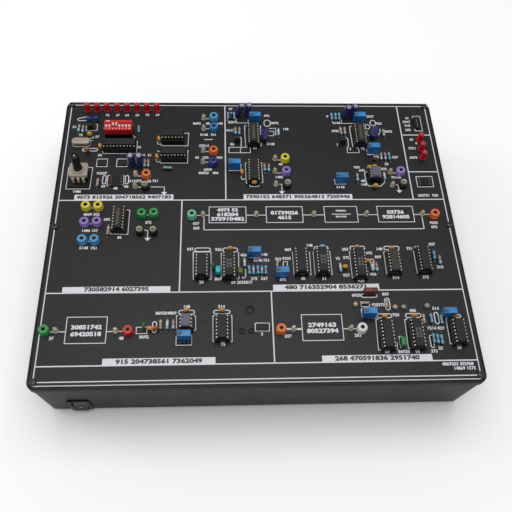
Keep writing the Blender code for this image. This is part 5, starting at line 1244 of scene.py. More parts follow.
@dataclass
class SlideSwitch:
    """The red eight-way slide switch on its holder."""
    slot: Colour = mm(1.5, 4.9, 2.1)
    pitch: float = PIN_PITCH * MM

    def build(self) -> None:
        """Builds the holder, the slotted body, its figures and the eight sliders."""
        low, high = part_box("slide_switch_body")
        middle = (low + high) / 2
        settle(Bench.slab("slide_switch_holder", (low.x, low.y - 0.1 * MM, FIELD.low.z),
                          (high.x, high.y + 0.1 * MM, low.z), Finish.HOLDER, 0.25))
        body = Bench.slab("slide_switch_case", low, high, Finish.SLIDE_RED, 0.25)
        places = [middle.x + (i - 3.5) * self.pitch for i in range(8)]
        width, length, depth = self.slot
        for x in places:
            Bench.cut(body, Bench.block("slot", (x - width / 2, middle.y - length / 2, high.z - depth),
                                        (x + width / 2, middle.y + length / 2, high.z + MM)))
        settle(body, stands_for=("slide_switch_body",))
        figures = [Bench.digits(str(i + 1), 1.7 * MM, Vector((x, low.y + 1.2 * MM, high.z)), bold=0.03 * MM)
                   for i, x in enumerate(places)]
        figures.append(Bench.digits("ON", 1.9 * MM, Vector((low.x + 2.6 * MM, high.y - 1.15 * MM, high.z)),
                                    bold=0.05 * MM))
        settle(Bench.dress(Bench.join("slide_switch_figures", figures), Finish.SLIDER))
        for i in range(1, 9):
            a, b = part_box(f"slider_{i}")
            slider = Bench.block(f"slider_{i}_key", (a.x, a.y, a.z), (b.x, b.y, b.z - 1.1 * MM))
            Bench.edit(slider)
            Bench.pick(slider, up)
            Bench.pull(mm(0, 0, 0.5), (1, 0.8, 1), tuple((a + b) / 2))
            Bench.pull(mm(0, 0, 0.6), (0.92, 0.62, 1), tuple((a + b) / 2))
            Bench.done()
            Bench.smooth(Bench.bevel(slider, 0.1 * MM, 2))
            settle(Bench.dress(slider, Finish.SLIDER), f"slide_{i}", (f"slider_{i}",))


@dataclass
class Trimmers:
    """Multi-turn trimmers: a blue box on standoffs, with a brass screw at one end of its top."""
    size: Colour = mm(9.0, 4.4, 8.6)
    inset: float = 1.6 * MM

    def build(self) -> None:
        """Builds one trimmer and one screw, and copies them."""
        width, depth, height = self.size
        pattern = Bench.block("trimmer", (-width / 2, -depth / 2, 0.5 * MM), (width / 2, depth / 2, height))
        Bench.tray(pattern, 0.45, 0.12)
        Bench.bevel(pattern, 0.18 * MM)
        screw_x = -width / 2 + self.inset
        well = Bench.turned("well", [(1.35 * MM, height - 2.7 * MM), (1.35 * MM, height + MM)], 24, (screw_x, 0, 0))
        Bench.cut(pattern, well)
        parts = [Bench.block("standoff", (x - 0.5 * MM, -depth / 2 + 0.2 * MM, 0),
                             (x + 0.5 * MM, depth / 2 - 0.2 * MM, MM))
                 for x in (-width / 2 + 0.8 * MM, width / 2 - 0.8 * MM)]
        Bench.dress(pattern, Finish.TRIM_BLUE)
        # Painted highlight: the upper faces take a lighter blue.
        Bench.dress_where(pattern, Finish.TRIM_TOP,
                          lambda middle, normal: up(middle, normal) and middle.z > height - 0.3 * MM)
        for part in parts:
            Bench.dress(part, Finish.TRIM_BLUE)
        pins = [Bench.stub("pin", rings((0.3, -0.1), (0.3, 0.8)), Finish.TIN, 10, (x * MM, 0, 0))
                for x in (-PIN_PITCH, 0, PIN_PITCH)]
        pattern = Bench.join("trimmer", [*parts, *pins, pattern])
        screw = Bench.turned("adjuster", rings((1.1, -2.4), (1.1, 0.55), (1.0, 0.8), (0.8, 0.9)), 24)
        Bench.cut(screw, Bench.block("slot", mm(-2, -0.25, 0.3), mm(2, 0.25, 2)))
        Bench.dress(screw, Finish.BRASS)
        base = Bench.block("trimmer_8_base", mm(-5.0, -4.3, 0), mm(4.6, 2.6, 0.6))
        dots = [Bench.stub("pin", rings((0.42, 0.3), (0.42, 1), (0.2, 1.2)), Finish.SILVER, 12, mm(x, -3.3, 0))
                for x in (-2.6, -0.1, 2.5)]
        plinth = Bench.join("trimmer_8_plinth", [*dots, Bench.dress(base, Finish.HOLDER)])
        settle(Bench.put(plinth, standing(TRIMMERS[7])))
        for number, place in enumerate(TRIMMERS, start=1):
            settle(Bench.copy(pattern, f"trimmer_{number}_box", standing(place)))
            name = f"trimmer_screw_{number}"
            turned = Bench.copy(screw, f"trimmer_{number}_screw", over(name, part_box(name)[1].z - 0.9 * MM))
            settle(turned, f"adjuster_{number}", (name,))
        Bench.drop(pattern, screw)


@dataclass
class Lamps:
    """Eight data lamps and three supply lamps, in red resin."""
    radius: float = 2.3 * MM
    height: float = 8.4 * MM
    flange: Share = mm(2.9, 1.2)
    data: tuple = (0.0455, 0.0274, 0.9765, 8)
    supply: tuple = ((0.967, 0.847), (0.966, 0.807), (0.9655, 0.770))

    def build(self) -> None:
        """Turns one lamp with its dome, and copies it."""
        dome = arc(self.radius, self.height - self.radius, (0, 15, 30, 45, 60, 74, 84))
        rise = self.flange[1]
        pattern = Bench.turned("lamp", [(self.flange[0], 0), (self.flange[0], rise * 0.8),
                                        (self.flange[0] - 0.2 * MM, rise), (self.radius + 0.1 * MM, rise), *dome], 36)
        Bench.dress(pattern, Finish.LAMP)
        start, step, depth, count = self.data
        places = [(start + i * step, depth) for i in range(count)] + list(self.supply)
        for number, place in enumerate(places, start=1):
            settle(Bench.copy(pattern, f"lamp_{number}", standing(place, number * 23)))
        Bench.drop(pattern)


@dataclass
class Sockets:
    """Patch sockets, ground sockets and test posts."""
    radius: float = 3.75 * MM
    shoulder: float = 3.4 * MM
    height: float = 5.0 * MM
    bore: float = 1.1 * MM
    ground: tuple = ((0.218, 0.648), (0.589, 0.653), (0.896, 0.654), (0.212, 0.477), (0.2455, 0.477))
    posts: tuple = (
        (0.191, 0.699), (0.192, 0.650), (0.368, 0.939), (0.368, 0.892), (0.3675, 0.796), (0.367, 0.749),
        (0.560, 0.762), (0.558, 0.709), (0.559, 0.657), (0.868, 0.706), (0.868, 0.653),
        (0.3685, 0.5395), (0.504, 0.5395), (0.652, 0.5395), (0.788, 0.5395), (0.9335, 0.5395),
        (0.036, 0.150), (0.172, 0.147), (0.5805, 0.146), (0.7145, 0.1455))
    domes: tuple = ((0.732, 0.221), (0.826, 0.211), (0.8465, 0.211), (0.903, 0.214))

    def barrel(self) -> Object:
        """One patch socket: a tapered barrel with a rolled shoulder, and a sprung sleeve in its bore."""
        top, r, s = self.height, self.radius, self.shoulder
        roll = arc(MM, top - MM, (0, 22, 45, 68, 90), s - MM)
        barrel = Bench.turned("barrel", [(r - 0.25 * MM, 0), (r, 0.25 * MM), (r, 0.7 * MM), (r - 0.1 * MM, 1.2 * MM),
            *roll, (self.bore + 0.75 * MM, top - 0.05 * MM), (self.bore + 0.45 * MM, top - 0.4 * MM),
            (self.bore + 0.4 * MM, top - 4.6 * MM)], 40)
        sleeve = Bench.turned("sleeve", [
            (self.bore + wide * MM, top - deep * MM)
            for wide, deep in ((0.38, 4.5), (0.38, 0.55), (0.05, 0.55), (-0.1, 1.1), (-0.1, 4.4))], 28)
        Bench.dress(sleeve, Finish.BORE)
        # Painted shade: the sleeve deeper than 3 mm in the bore is given the holder's black.
        Bench.dress_where(sleeve, Finish.HOLDER, lambda middle, normal: middle.z < top - 3.0 * MM)
        Bench.dress(barrel, Finish.HOLDER)
        return Bench.join("barrel", [sleeve, barrel])

    def build(self) -> None:
        """Builds each kind once, and copies it."""
        pattern = self.barrel()
        names = sorted(name for name in frame["nodes"] if "_socket_" in name)
        for name in names:
            word = name.split("_")[2]
            socket = Bench.copy(pattern, f"{name}_barrel", over(name, FIELD.low.z))
            socket.data.materials[0] = Dye[word.upper()].get()
            settle(socket, stands_for=(name,))
        Bench.drop(pattern)
        ground = Bench.turned("cap", rings(
            (2.9, 0), (3.0, 0.3), (3.0, 2.5), (2.75, 2.8), (2.6, 2.8), (2.6, 4.8), (2.4, 5.35), (2.0, 5.6), (1.6, 5.55),
            (1.1, 5.2), (0.9, 4.9)), 32)
        Bench.dress(ground, Finish.CAP)
        # Painted shade: the cap's sides take the darker bore metal, while its top keeps the lighter nickel.
        Bench.dress_where(ground, Finish.BORE, lambda middle, normal: abs(normal.z) < 0.4)
        Bench.dress_where(ground, Finish.HOLDER, lambda middle, normal: middle.z < 2.82 * MM)
        # Painted shade in the shallow hollow at the top.
        Bench.dress_where(ground, Finish.BORE, lambda middle, normal: middle.z > 3 * MM and middle.xy.length < MM)
        for number, place in enumerate(self.ground, start=1):
            settle(Bench.copy(ground, f"ground_socket_{number}", standing(place, 30 + number * 50)))
        post = Bench.turned("post", rings((1.85, 0), (1.9, 0.7), (1.7, 1.0), (1.45, 1.0), (1.68, 1.9), (1.7, 2.7),
            (1.4, 4.0), (1.05, 4.8), (0.7, 5.2)), 24)
        Bench.cut(post, Bench.block("slit", mm(-0.34, -3, 2.2), mm(0.34, 3, 7)))
        Bench.dress(post, Finish.POST)
        dome = Bench.turned("dome", rings(
            (2.0, 0), (2.1, 0.4), (2.1, 1.2), (1.9, 2.0), (1.5, 2.6), (0.9, 2.93), (0.4, 3.0)), 24)
        Bench.cut(dome, Bench.block("slit", mm(-0.2, -3, 2.1), mm(0.2, 3, 4)))
        Bench.dress(dome, Finish.CAP)
        posts = [Bench.copy(post, "post", standing(place, 20 + 41 * number)) for number, place in enumerate(self.posts)]
        posts += [Bench.copy(dome, "dome", standing(place, 37 * number)) for number, place in enumerate(self.domes)]
        settle(Bench.smooth(Bench.join("test_posts", posts)))
        Bench.drop(ground, post, dome)


class Kind(Enum):
    """Resistor bodies: the front half's finish, the back half's, and four bands from front to back."""
    BLUE = (Finish.FILM_BLUE, Finish.FILM_BLUE, (None, Finish.BAND_BROWN, Finish.BAND_BROWN, None))
    HALF = (Finish.FILM_SKY, Finish.FILM_CREAM, (None, Finish.BAND_BROWN, Finish.BAND_BLACK, Finish.BAND_BROWN))
    PINK = (Finish.FILM_SKY, Finish.FILM_PINK, (None, Finish.BAND_RED, Finish.BAND_BROWN, Finish.BAND_BROWN))
    CREAM = (Finish.FILM_CREAM, Finish.FILM_CREAM, (Finish.BAND_BROWN, None, Finish.BAND_RED, None))
    TEAL = (Finish.FILM_TEAL, Finish.FILM_TEAL, (Finish.FILM_SKY, None, Finish.FILM_PINK, Finish.FILM_CREAM))
    PALE = (Finish.FILM_SKY, Finish.FILM_PALE, (None, Finish.BAND_YELLOW, None, Finish.BAND_BROWN))
    ORANGE = (Finish.FILM_BLUE, Finish.FILM_BLUE, (None, Finish.BAND_ORANGE, Finish.FILM_PALE, Finish.BAND_BROWN))
    ROSE = (Finish.FILM_PINK, Finish.FILM_CREAM, (Finish.BAND_RED, None, Finish.BAND_BROWN, None))
    DIODE = (Finish.BAND_BLACK, Finish.BAND_BLACK, (None, None, None, Finish.FILM_PALE))


@dataclass
class Resistors:
    """Axial resistors on their bent leads, with painted bands."""
    radius: float = 1.0 * MM
    span: float = 9.8 * MM
    rise: float = 2.1 * MM
    lead: float = 0.3 * MM
    along: tuple = ((0.029, 0.889, 1), (0.040, 0.886, 2), (0.191, 0.885, 4), (0.213, 0.741, 1), (0.2225, 0.740, 2),
        (0.095, 0.662, 7), (0.4355, 0.947, 0), (0.453, 0.946, 0), (0.4445, 0.947, 8), (0.4555, 0.8795, 1),
        (0.466, 0.8785, 1), (0.574, 0.874, 5), (0.531, 0.723, 1), (0.542, 0.7215, 2), (0.727, 0.9445, 0),
        (0.738, 0.9445, 0), (0.7485, 0.9445, 0), (0.748, 0.8795, 3), (0.759, 0.8795, 1), (0.867, 0.872, 1),
        (0.850, 0.770, 1), (0.861, 0.770, 2), (0.872, 0.770, 0), (0.777, 0.682, 1), (0.850, 0.688, 5), (0.134, 0.480,
        7), (0.471, 0.364, 5), (0.482, 0.338, 0), (0.492, 0.338, 6), (0.503, 0.338, 0), (0.5125, 0.338, 6),
        (0.522, 0.338, 0), (0.705, 0.344, 5), (0.784, 0.345, 5), (0.795, 0.345, 2), (0.943, 0.385, 0), (0.955, 0.368,
        1), (0.274, 0.163, 7), (0.289, 0.163, 5), (0.303, 0.163, 2), (0.806, 0.221, 7), (0.889, 0.171, 3),
        (0.9075, 0.1725, 0), (0.931, 0.168, 4), (0.9045, 0.110, 0), (0.914, 0.108, 0), (0.9235, 0.106, 0))
    across: tuple = ((0.274, 0.722, 4), (0.754, 0.224, 3))

    def pattern(self, kind: Kind) -> Object:
        """One resistor: its body turned with a ring for each band, then its bent leads."""
        front, back, bands = kind.value
        r = self.radius
        shape = [(self.lead, -3.25), (r * 0.7, -3.2), (r * 0.97, -2.9), (r * 1.06, -2.5), (r * 1.04, -2.3),
                 (r * 1.0, -1.75), (r * 0.93, -1.6), (r * 0.91, -1.0), (r * 0.91, -0.5), (r * 0.91, 0.1),
                 (r * 0.91, 0.6), (r * 0.93, 1.6), (r * 1.03, 1.9), (r * 1.06, 2.4), (r * 0.97, 2.9), (r * 0.7, 3.2),
                 (self.lead, 3.25)]
        body = Bench.turned("body", [(radius, height * MM) for radius, height in shape], 18)
        Bench.dress(body, front)
        Bench.dress_where(body, back, lambda middle, normal: middle.z > -0.5 * MM)
        for band, (start, stop) in zip(bands, ((-2.32, -1.72), (-1.02, -0.48), (0.08, 0.62), (1.88, 2.42))):
            if band:
                Bench.dress_where(body, band, lambda middle, normal, a=start, b=stop: a * MM < middle.z < b * MM)
        Bench.turn(body, "X", -90)
        Bench.move(body, (0, 0, self.rise))
        leads = []
        for side in (-1, 1):
            lead = Bench.turned("lead", [(self.lead, -0.2 * MM), (self.lead, self.rise - 0.5 * MM)], 10,
                                (0, side * self.span / 2, 0))
            Bench.edit(lead)
            for step in range(1, 5):
                Bench.pick(lead, lambda middle, normal, s=step, d=side: self.cap(middle, normal, s, d))
                bpy.ops.mesh.extrude_region_move()
                bpy.ops.transform.rotate(value=math.radians(22.5) * side, orient_axis="X", orient_type="GLOBAL",
                                         center_override=(0, side * (self.span / 2 - 0.5 * MM), self.rise - 0.5 * MM))
            Bench.pick(lead, lambda middle, normal, s=5, d=side: self.cap(middle, normal, s, d))
            Bench.pull((0, -side * 1.0 * MM, 0))
            Bench.done()
            leads.append(Bench.dress(Bench.smooth(lead, 50), Finish.TIN))
        return Bench.join("resistor", [*leads, body])

    def cap(self, middle: Vector, normal: Vector, step: int, side: int) -> bool:
        """Whether a face is the lead's free end after some steps of its bend."""
        angle = math.radians(22.5) * (step - 1)
        facing = Vector((0, -side * math.sin(angle), math.cos(angle)))
        return normal.dot(facing) > 0.99 and middle.z > 0

    def build(self) -> None:
        """Builds each kind once, and copies it to its places."""
        patterns = [self.pattern(kind) for kind in Kind]
        made = []
        for table, turn in ((self.along, 0), (self.across, 90)):
            for number, (x, y, kind) in enumerate(table):
                lean = ((number * 7) % 5 - 2) * 1.1
                made.append(Bench.copy(patterns[kind], "resistor", standing((x, y), turn + lean)))
        settle(Bench.join("resistors", made))
        Bench.drop(*patterns)


@dataclass
class Capacitors:
    """Dipped drops on edge, and electrolytic cans upright, leaning or lying."""
    drop: Share = mm(2.1, 1.3)
    can: Share = mm(2.6, 11.2)
    drops: tuple = (
        (0.055, 0.926, "B"), (0.074, 0.928, "B"), (0.061, 0.860, "O"), (0.060, 0.792, "R"), (0.502, 0.659, "O"),
        (0.812, 0.720, "O"), (0.826, 0.7225, "O"), (0.822, 0.645, "O"), (0.436, 0.411, "O"), (0.664, 0.415, "S"),
        (0.750, 0.413, "O"), (0.838, 0.408, "O"), (0.716, 0.344, "O"), (0.773, 0.364, "O"), (0.250, 0.150, "O"),
        (0.263, 0.150, "R"), (0.332, 0.205, "O"), (0.4145, 0.2035, "O"), (0.796, 0.178, "O"), (0.867, 0.1795, "O"),
        (0.963, 0.178, "O"))
    edge_drops: tuple = ((0.236, 0.158, "G"), (0.3935, 0.350, "G"), (0.093, 0.805, "O"), (0.248, 0.836, "O"),
        (0.245, 0.762, "O"), (0.470, 0.698, "O"))
    upright: tuple = ((0.178, 0.743, 2.75), (0.200, 0.743, 2.75))
    leaning: tuple = ((0.4605, 0.960, 0.34), (0.490, 0.961, 0.10), (0.762, 0.953, 0.26), (0.7845, 0.958, 0.18))
    lying: tuple = ((0.5365, 0.8585, -10), (0.840, 0.869, -26))

    def drop_pattern(self, finish: Finish, lift: float) -> Object:
        """One drop: a ball pressed flat, drawn down over two legs."""
        Bench.hold()
        radius, half = self.drop
        bpy.ops.mesh.primitive_uv_sphere_add(segments=24, ring_count=14, radius=1.0)
        bpy.context.object.scale = (radius, half, radius)
        piece = Bench.named("drop")
        for point in piece.data.vertices:
            if point.co.z < 0:
                point.co.x *= 1 - 0.18 * (point.co.z / radius) ** 2
        Bench.move(Bench.dress(Bench.smooth(piece, 60), finish), (0, 0, radius + lift))
        legs = [Bench.stub("leg", [mm(0.28, -0.1), (0.28 * MM, radius * 0.7 + lift)], Finish.TIN, 8,
                           (side * PIN_PITCH / 2 * MM, 0, 0)) for side in (-1, 1)]
        return Bench.join("drop", [*legs, piece])

    def can_pattern(self, radius: float) -> Object:
        """One can: sleeve with its crimp and stripe, and a scored bare top."""
        height = self.can[1]
        piece = Bench.turned("can", [(radius - 0.5 * MM, 0), (radius - 0.1 * MM, 0.25 * MM), (radius, 0.6 * MM),
            (radius, 1.3 * MM), (radius - 0.25 * MM, 1.6 * MM), (radius - 0.25 * MM, 1.9 * MM), (radius, 2.2 * MM),
            (radius, height - 0.5 * MM), (radius - 0.15 * MM, height - 0.12 * MM), (radius - 0.5 * MM, height),
            (radius * 0.68, height), (radius * 0.66, height - 0.15 * MM)], 32)
        for turn in (0, 90):
            score = Bench.block("score", (-radius * 0.6, -0.1 * MM, height - 0.35 * MM),
                                (radius * 0.6, 0.1 * MM, height + MM))
            Bench.cut(piece, Bench.turn(score, "Z", turn))
        Bench.dress(piece, Finish.SLEEVE)
        Bench.dress_where(piece, Finish.SLEEVE_MARK, lambda middle, normal: middle.x > radius * 0.86
                          and 2.3 * MM < middle.z < height - 0.6 * MM)
        Bench.dress_where(piece, Finish.CAN_TOP, lambda middle, normal: middle.z > height - 0.4 * MM
                          and math.hypot(middle.x, middle.y) < radius * 0.67)
        return piece

    def build(self) -> None:
        """Builds each kind once, and copies it."""
        finishes = {"O": Finish.DROP_ORANGE, "B": Finish.DROP_BLUE, "R": Finish.DROP_BROWN, "S": Finish.FILM_SKY,
                    "G": Finish.DROP_GREEN}
        patterns = {key: self.drop_pattern(finish, 1.1 * MM) for key, finish in finishes.items()}
        raised = {key: self.drop_pattern(finish, 2.2 * MM) for key, finish in finishes.items()}
        made = []
        for number, (x, y, key) in enumerate(self.drops):
            made.append(Bench.copy(patterns[key], "drop", standing((x, y), ((number * 13) % 7 - 3) * 4.0)))
        for number, (x, y, key) in enumerate(self.edge_drops):
            made.append(Bench.copy(raised[key], "drop", standing((x, y), 84 + number * 5)))
        settle(Bench.join("drop_capacitors", made))
        can = self.can_pattern(self.can[0])
        for number, (x, y, radius) in enumerate(self.upright, start=1):
            big = self.can_pattern(radius * MM)
            settle(Bench.copy(big, f"can_upright_{number}", standing((x, y), 200)))
            Bench.drop(big)
        for number, (x, y, lean) in enumerate(self.leaning, start=1):
            slant = Matrix.Identity(4)
            slant[0][2] = lean
            settle(Bench.copy(can, f"can_leaning_{number}", standing((x, y)) @ slant))
        lie = (Matrix.Translation((0, 0, self.can[0])) @ Matrix.Rotation(math.pi / 2, 4, "X")
               @ Matrix.Translation((0, 0, -self.can[1] / 2)))
        for number, (x, y, turn) in enumerate(self.lying, start=1):
            settle(Bench.copy(can, f"can_lying_{number}", standing((x, y), 180 + turn) @ lie))
        Bench.drop(can, *patterns.values(), *raised.values())


@dataclass
class SmallParts:
    """The crystal, the pin header, film capacitors, transistors and the odd round parts."""
    crystal: Share = (0.040, 0.829)
    header: Share = (0.967, 0.920)
    plates: tuple = ((0.100, 0.749), (0.1535, 0.748), (0.5078, 0.154))
    films: tuple = ((0.771, 0.262, 9.8, 3.6, Finish.MAROON), (0.4065, 0.336, 3.6, 5.3, Finish.CYAN),
                    (0.460, 0.332, 3.6, 4.2, Finish.OLIVE), (0.831, 0.099, 3.6, 6.1, Finish.LEAF))
    transistors: tuple = ((0.058, 0.896), (0.4595, 0.839), (0.750, 0.832))
    ring: Share = (0.829, 0.750)
    discs: tuple = ((0.4805, 0.2105, 2.9), (0.461, 0.143, 2.0), (0.482, 0.143, 2.0))

    def build(self) -> None:
        """Builds each part."""
        can = Bench.rounded("crystal_can", mm(-7.0, -3.1, 2.4), mm(7.0, 3.1, 4.2), 2.6 * MM, 6)
        Bench.edit(can)
        Bench.pick_edges(can, lambda a, b: min(a.z, b.z) > 4.1 * MM)
        bpy.ops.mesh.bevel(offset=0.9 * MM, segments=4, affect="EDGES")
        Bench.done()
        neck = Bench.rounded("neck", mm(-6.9, -3.0, 0.6), mm(6.9, 3.0, 2.6), 2.5 * MM, 6)
        brim = Bench.rounded("brim", mm(-7.2, -3.9, 0), mm(7.2, 3.4, 0.9), 2.8 * MM, 6)
        Bench.bevel(brim, 0.15 * MM)
        Bench.dress(can, Finish.CRYSTAL)
        Bench.dress(brim, Finish.CRYSTAL)
        Bench.dress(neck, Finish.HOLDER)
        crystal = Bench.smooth(Bench.join("crystal", [neck, brim, can]), 35)
        settle(Bench.put(crystal, standing(self.crystal)))
        block = Bench.slab("header", mm(-2.5, -5.5, 0), mm(2.5, 5.5, 1.8), Finish.HOLDER, 0.3)
        pins = [Bench.slab("pin", (-0.3 * MM, y - 0.3 * MM, MM), (0.3 * MM, y + 0.3 * MM, 2.4 * MM), Finish.CONTACT,
            0.15, 1) for y in (k * PIN_PITCH * MM for k in (-1.5, -0.5, 0.5, 1.5))]
        settle(Bench.put(Bench.join("pin_header", [*pins, block]), standing(self.header)))
        for number, place in enumerate(self.plates, start=1):
            tray = Bench.block(f"flat_part_{number}", mm(-3.6, -2.5, 0), mm(3.6, 2.5, 0.9))
            Bench.tray(tray, 0.7, 0.25)
            Bench.dress(Bench.bevel(tray, 0.15 * MM), Finish.CHIP)
            settle(Bench.put(tray, standing(place)))
        for number, (x, y, width, depth, finish) in enumerate(self.films, start=1):
            film = Bench.slab(f"film_capacitor_{number}", mm(-width / 2, -depth / 2, 0.2),
                              mm(width / 2, depth / 2, 5.0), finish, 0.8, 4)
            settle(Bench.put(Bench.smooth(film), standing((x, y))))
        for number, place in enumerate(self.transistors, start=1):
            body = Bench.turned("body", rings((2.3, 0.6), (2.3, 5.2)), 28)
            flat = Bench.block("flat", mm(-4, 1.2, -1), mm(4, 4, 8))
            Bench.dress(Bench.bevel(Bench.cut(body, flat), 0.15 * MM, 1), Finish.CHIP)
            legs = [Bench.stub("leg", rings((0.25, -0.1), (0.25, 1)), Finish.TIN, 8, (side * PIN_PITCH / 2 * MM, 0, 0))
                    for side in (-1, 0, 1)]
            piece = Bench.join(f"transistor_{number}", [*legs, body])
            settle(Bench.put(piece, standing(place, 180 if number > 1 else 0)))
        ring = Bench.stub("black_ring", rings((4.3, 0), (4.4, 0.2), (4.4, 1.0), (4.1, 1.35), (3.6, 1.4), (2.1, 1.4),
                                              (1.8, 1.2), (1.75, 0.2)), Finish.SHAFT, 40)
        Bench.dress_where(ring, Finish.CHIP, lambda middle, normal: up(middle, normal) and middle.z > MM)
        settle(Bench.put(ring, standing(self.ring)))
        for number, (x, y, radius) in enumerate(self.discs, start=1):
            r = radius * MM
            disc = Bench.stub(f"round_part_{number}", [(r * 0.9, 0), (r, 0.2 * MM), (r, 0.55 * MM),
                (r * 0.8, 0.85 * MM), (r * 0.42, 0.9 * MM), (r * 0.36, 0.5 * MM)], Finish.HOLDER)
            settle(Bench.put(disc, standing((x, y))))


@dataclass
class Potentiometer:
    """Ivory potentiometer on a dark base, with bent lugs and a black shaft."""
    size: Share = mm(13.5, 12.0)
    collar: Share = mm(4.8, 1.4)
    lug: Share = mm(2.3, 3.8)

    def build(self) -> None:
        """Builds base, housing, lugs and shaft."""
        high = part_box("pot_body")[1]
        shaft_low, shaft_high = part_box("pot_shaft")
        middle = Vector(((shaft_low.x + shaft_high.x) / 2, (shaft_low.y + shaft_high.y) / 2, 0))
        ground = FIELD.low.z
        width, depth = self.size
        lower = ground + 5.0 * MM
        upper = high.z - self.collar[1]
        half = Vector((width / 2, depth / 2, 0))
        inner = half - Vector(mm(0.6, 0.6, 0))
        base = Bench.slab("pot_base", middle - inner + Vector((0, 0, ground)),
                          middle + inner + Vector((0, 0, lower - 0.1 * MM)), Finish.HOLDER, 0.3)
        foot = Bench.slab("foot", FIELD.spot((0.0175, 0.6475), -0.05 * MM), FIELD.spot((0.0735, 0.715), 0.9 * MM),
                          Finish.HOLDER, 0.2)
        settle(Bench.join("pot_stand", [foot, base]))
        housing = Bench.rounded("housing", middle - half + Vector((0, 0, lower)), middle + half + Vector((0, 0, upper)),
                                1.6 * MM, 4)
        Bench.bevel(housing, 0.3 * MM)
        collar = Bench.turned("collar", [(self.collar[0], -0.5 * MM), (self.collar[0], self.collar[1] * 0.6),
                                         (self.collar[0] - 0.4 * MM, self.collar[1])], 36, (middle.x, middle.y, upper))
        Bench.cut(housing, collar, "UNION")
        bore = Bench.turned("bore", rings((3.4, 0.9), (3.4, 9)), 36, (middle.x, middle.y, lower))
        Bench.cut(housing, bore)
        hole = Bench.turned("hole", rings((0.5, -0.8), (0.5, 1)), 14,
                            (middle.x + width / 2 - 1.6 * MM, middle.y + depth / 2 - 1.8 * MM, upper))
        Bench.cut(housing, hole)
        parts = [Bench.dress(Bench.smooth(housing, 35), Finish.IVORY)]
        front = middle.y - depth / 2
        for side in (-1, 0, 1):
            x = middle.x + side * self.lug[1]
            lug = Bench.block("lug", (x - self.lug[0] / 2, front - 1.0 * MM, lower + 0.3 * MM),
                              (x + self.lug[0] / 2, front + 0.5 * MM, lower + 0.9 * MM))
            Bench.edit(lug)
            Bench.pick(lug, lambda place, normal: normal.y < -FACING)
            Bench.pull(mm(0, -0.6, 0))
            Bench.pick(lug, lambda place, normal: normal.z < -FACING and place.y < front - 1.1 * MM)
            Bench.pull(mm(0, 0, -3.4))
            Bench.pull(mm(0, 0, -1.2), (0.62, 1, 1), (x, front - 1.3 * MM, lower))
            Bench.done()
            parts.append(Bench.dress(Bench.smooth(Bench.bevel(lug, 0.15 * MM)), Finish.IVORY))
        settle(Bench.join("pot_housing", parts[1:] + parts[:1]), stands_for=("pot_body",))
        top = shaft_high.z
        r = 3.4 * MM
        shaft = Bench.turned("pot_shaft_knurled", [(3.1 * MM, shaft_low.z), (3.1 * MM, high.z + 0.3 * MM),
            (r, high.z + 0.3 * MM), (r, high.z + 0.9 * MM), (3.05 * MM, high.z + 1.3 * MM), (3.0 * MM, top - 4.2 * MM),
            (3.35 * MM, top - 3.8 * MM), (3.35 * MM, top - 0.6 * MM), (2.95 * MM, top - 0.1 * MM), (2.6 * MM, top),
            (0.55 * MM, top), (0.45 * MM, top - 0.2 * MM)], 48)
        shaft.data.transform(Matrix.Translation(middle))
        slot = Bench.block("index", (middle.x - 0.35 * MM, middle.y + 1.2 * MM, top - 0.5 * MM),
                           (middle.x + 0.35 * MM, middle.y + 5 * MM, top + MM))
        Bench.cut(shaft, slot)
        Bench.dress(Bench.smooth(shaft), Finish.SHAFT)
        # Painted highlight: a white dot at the centre of the shaft's top.
        Bench.dress_where(shaft, Finish.SLIDER, lambda place, normal: (place - middle).xy.length < 0.5 * MM
                          and place.z > top - 0.3 * MM)
        settle(shaft, "shaft", ("pot_shaft",))


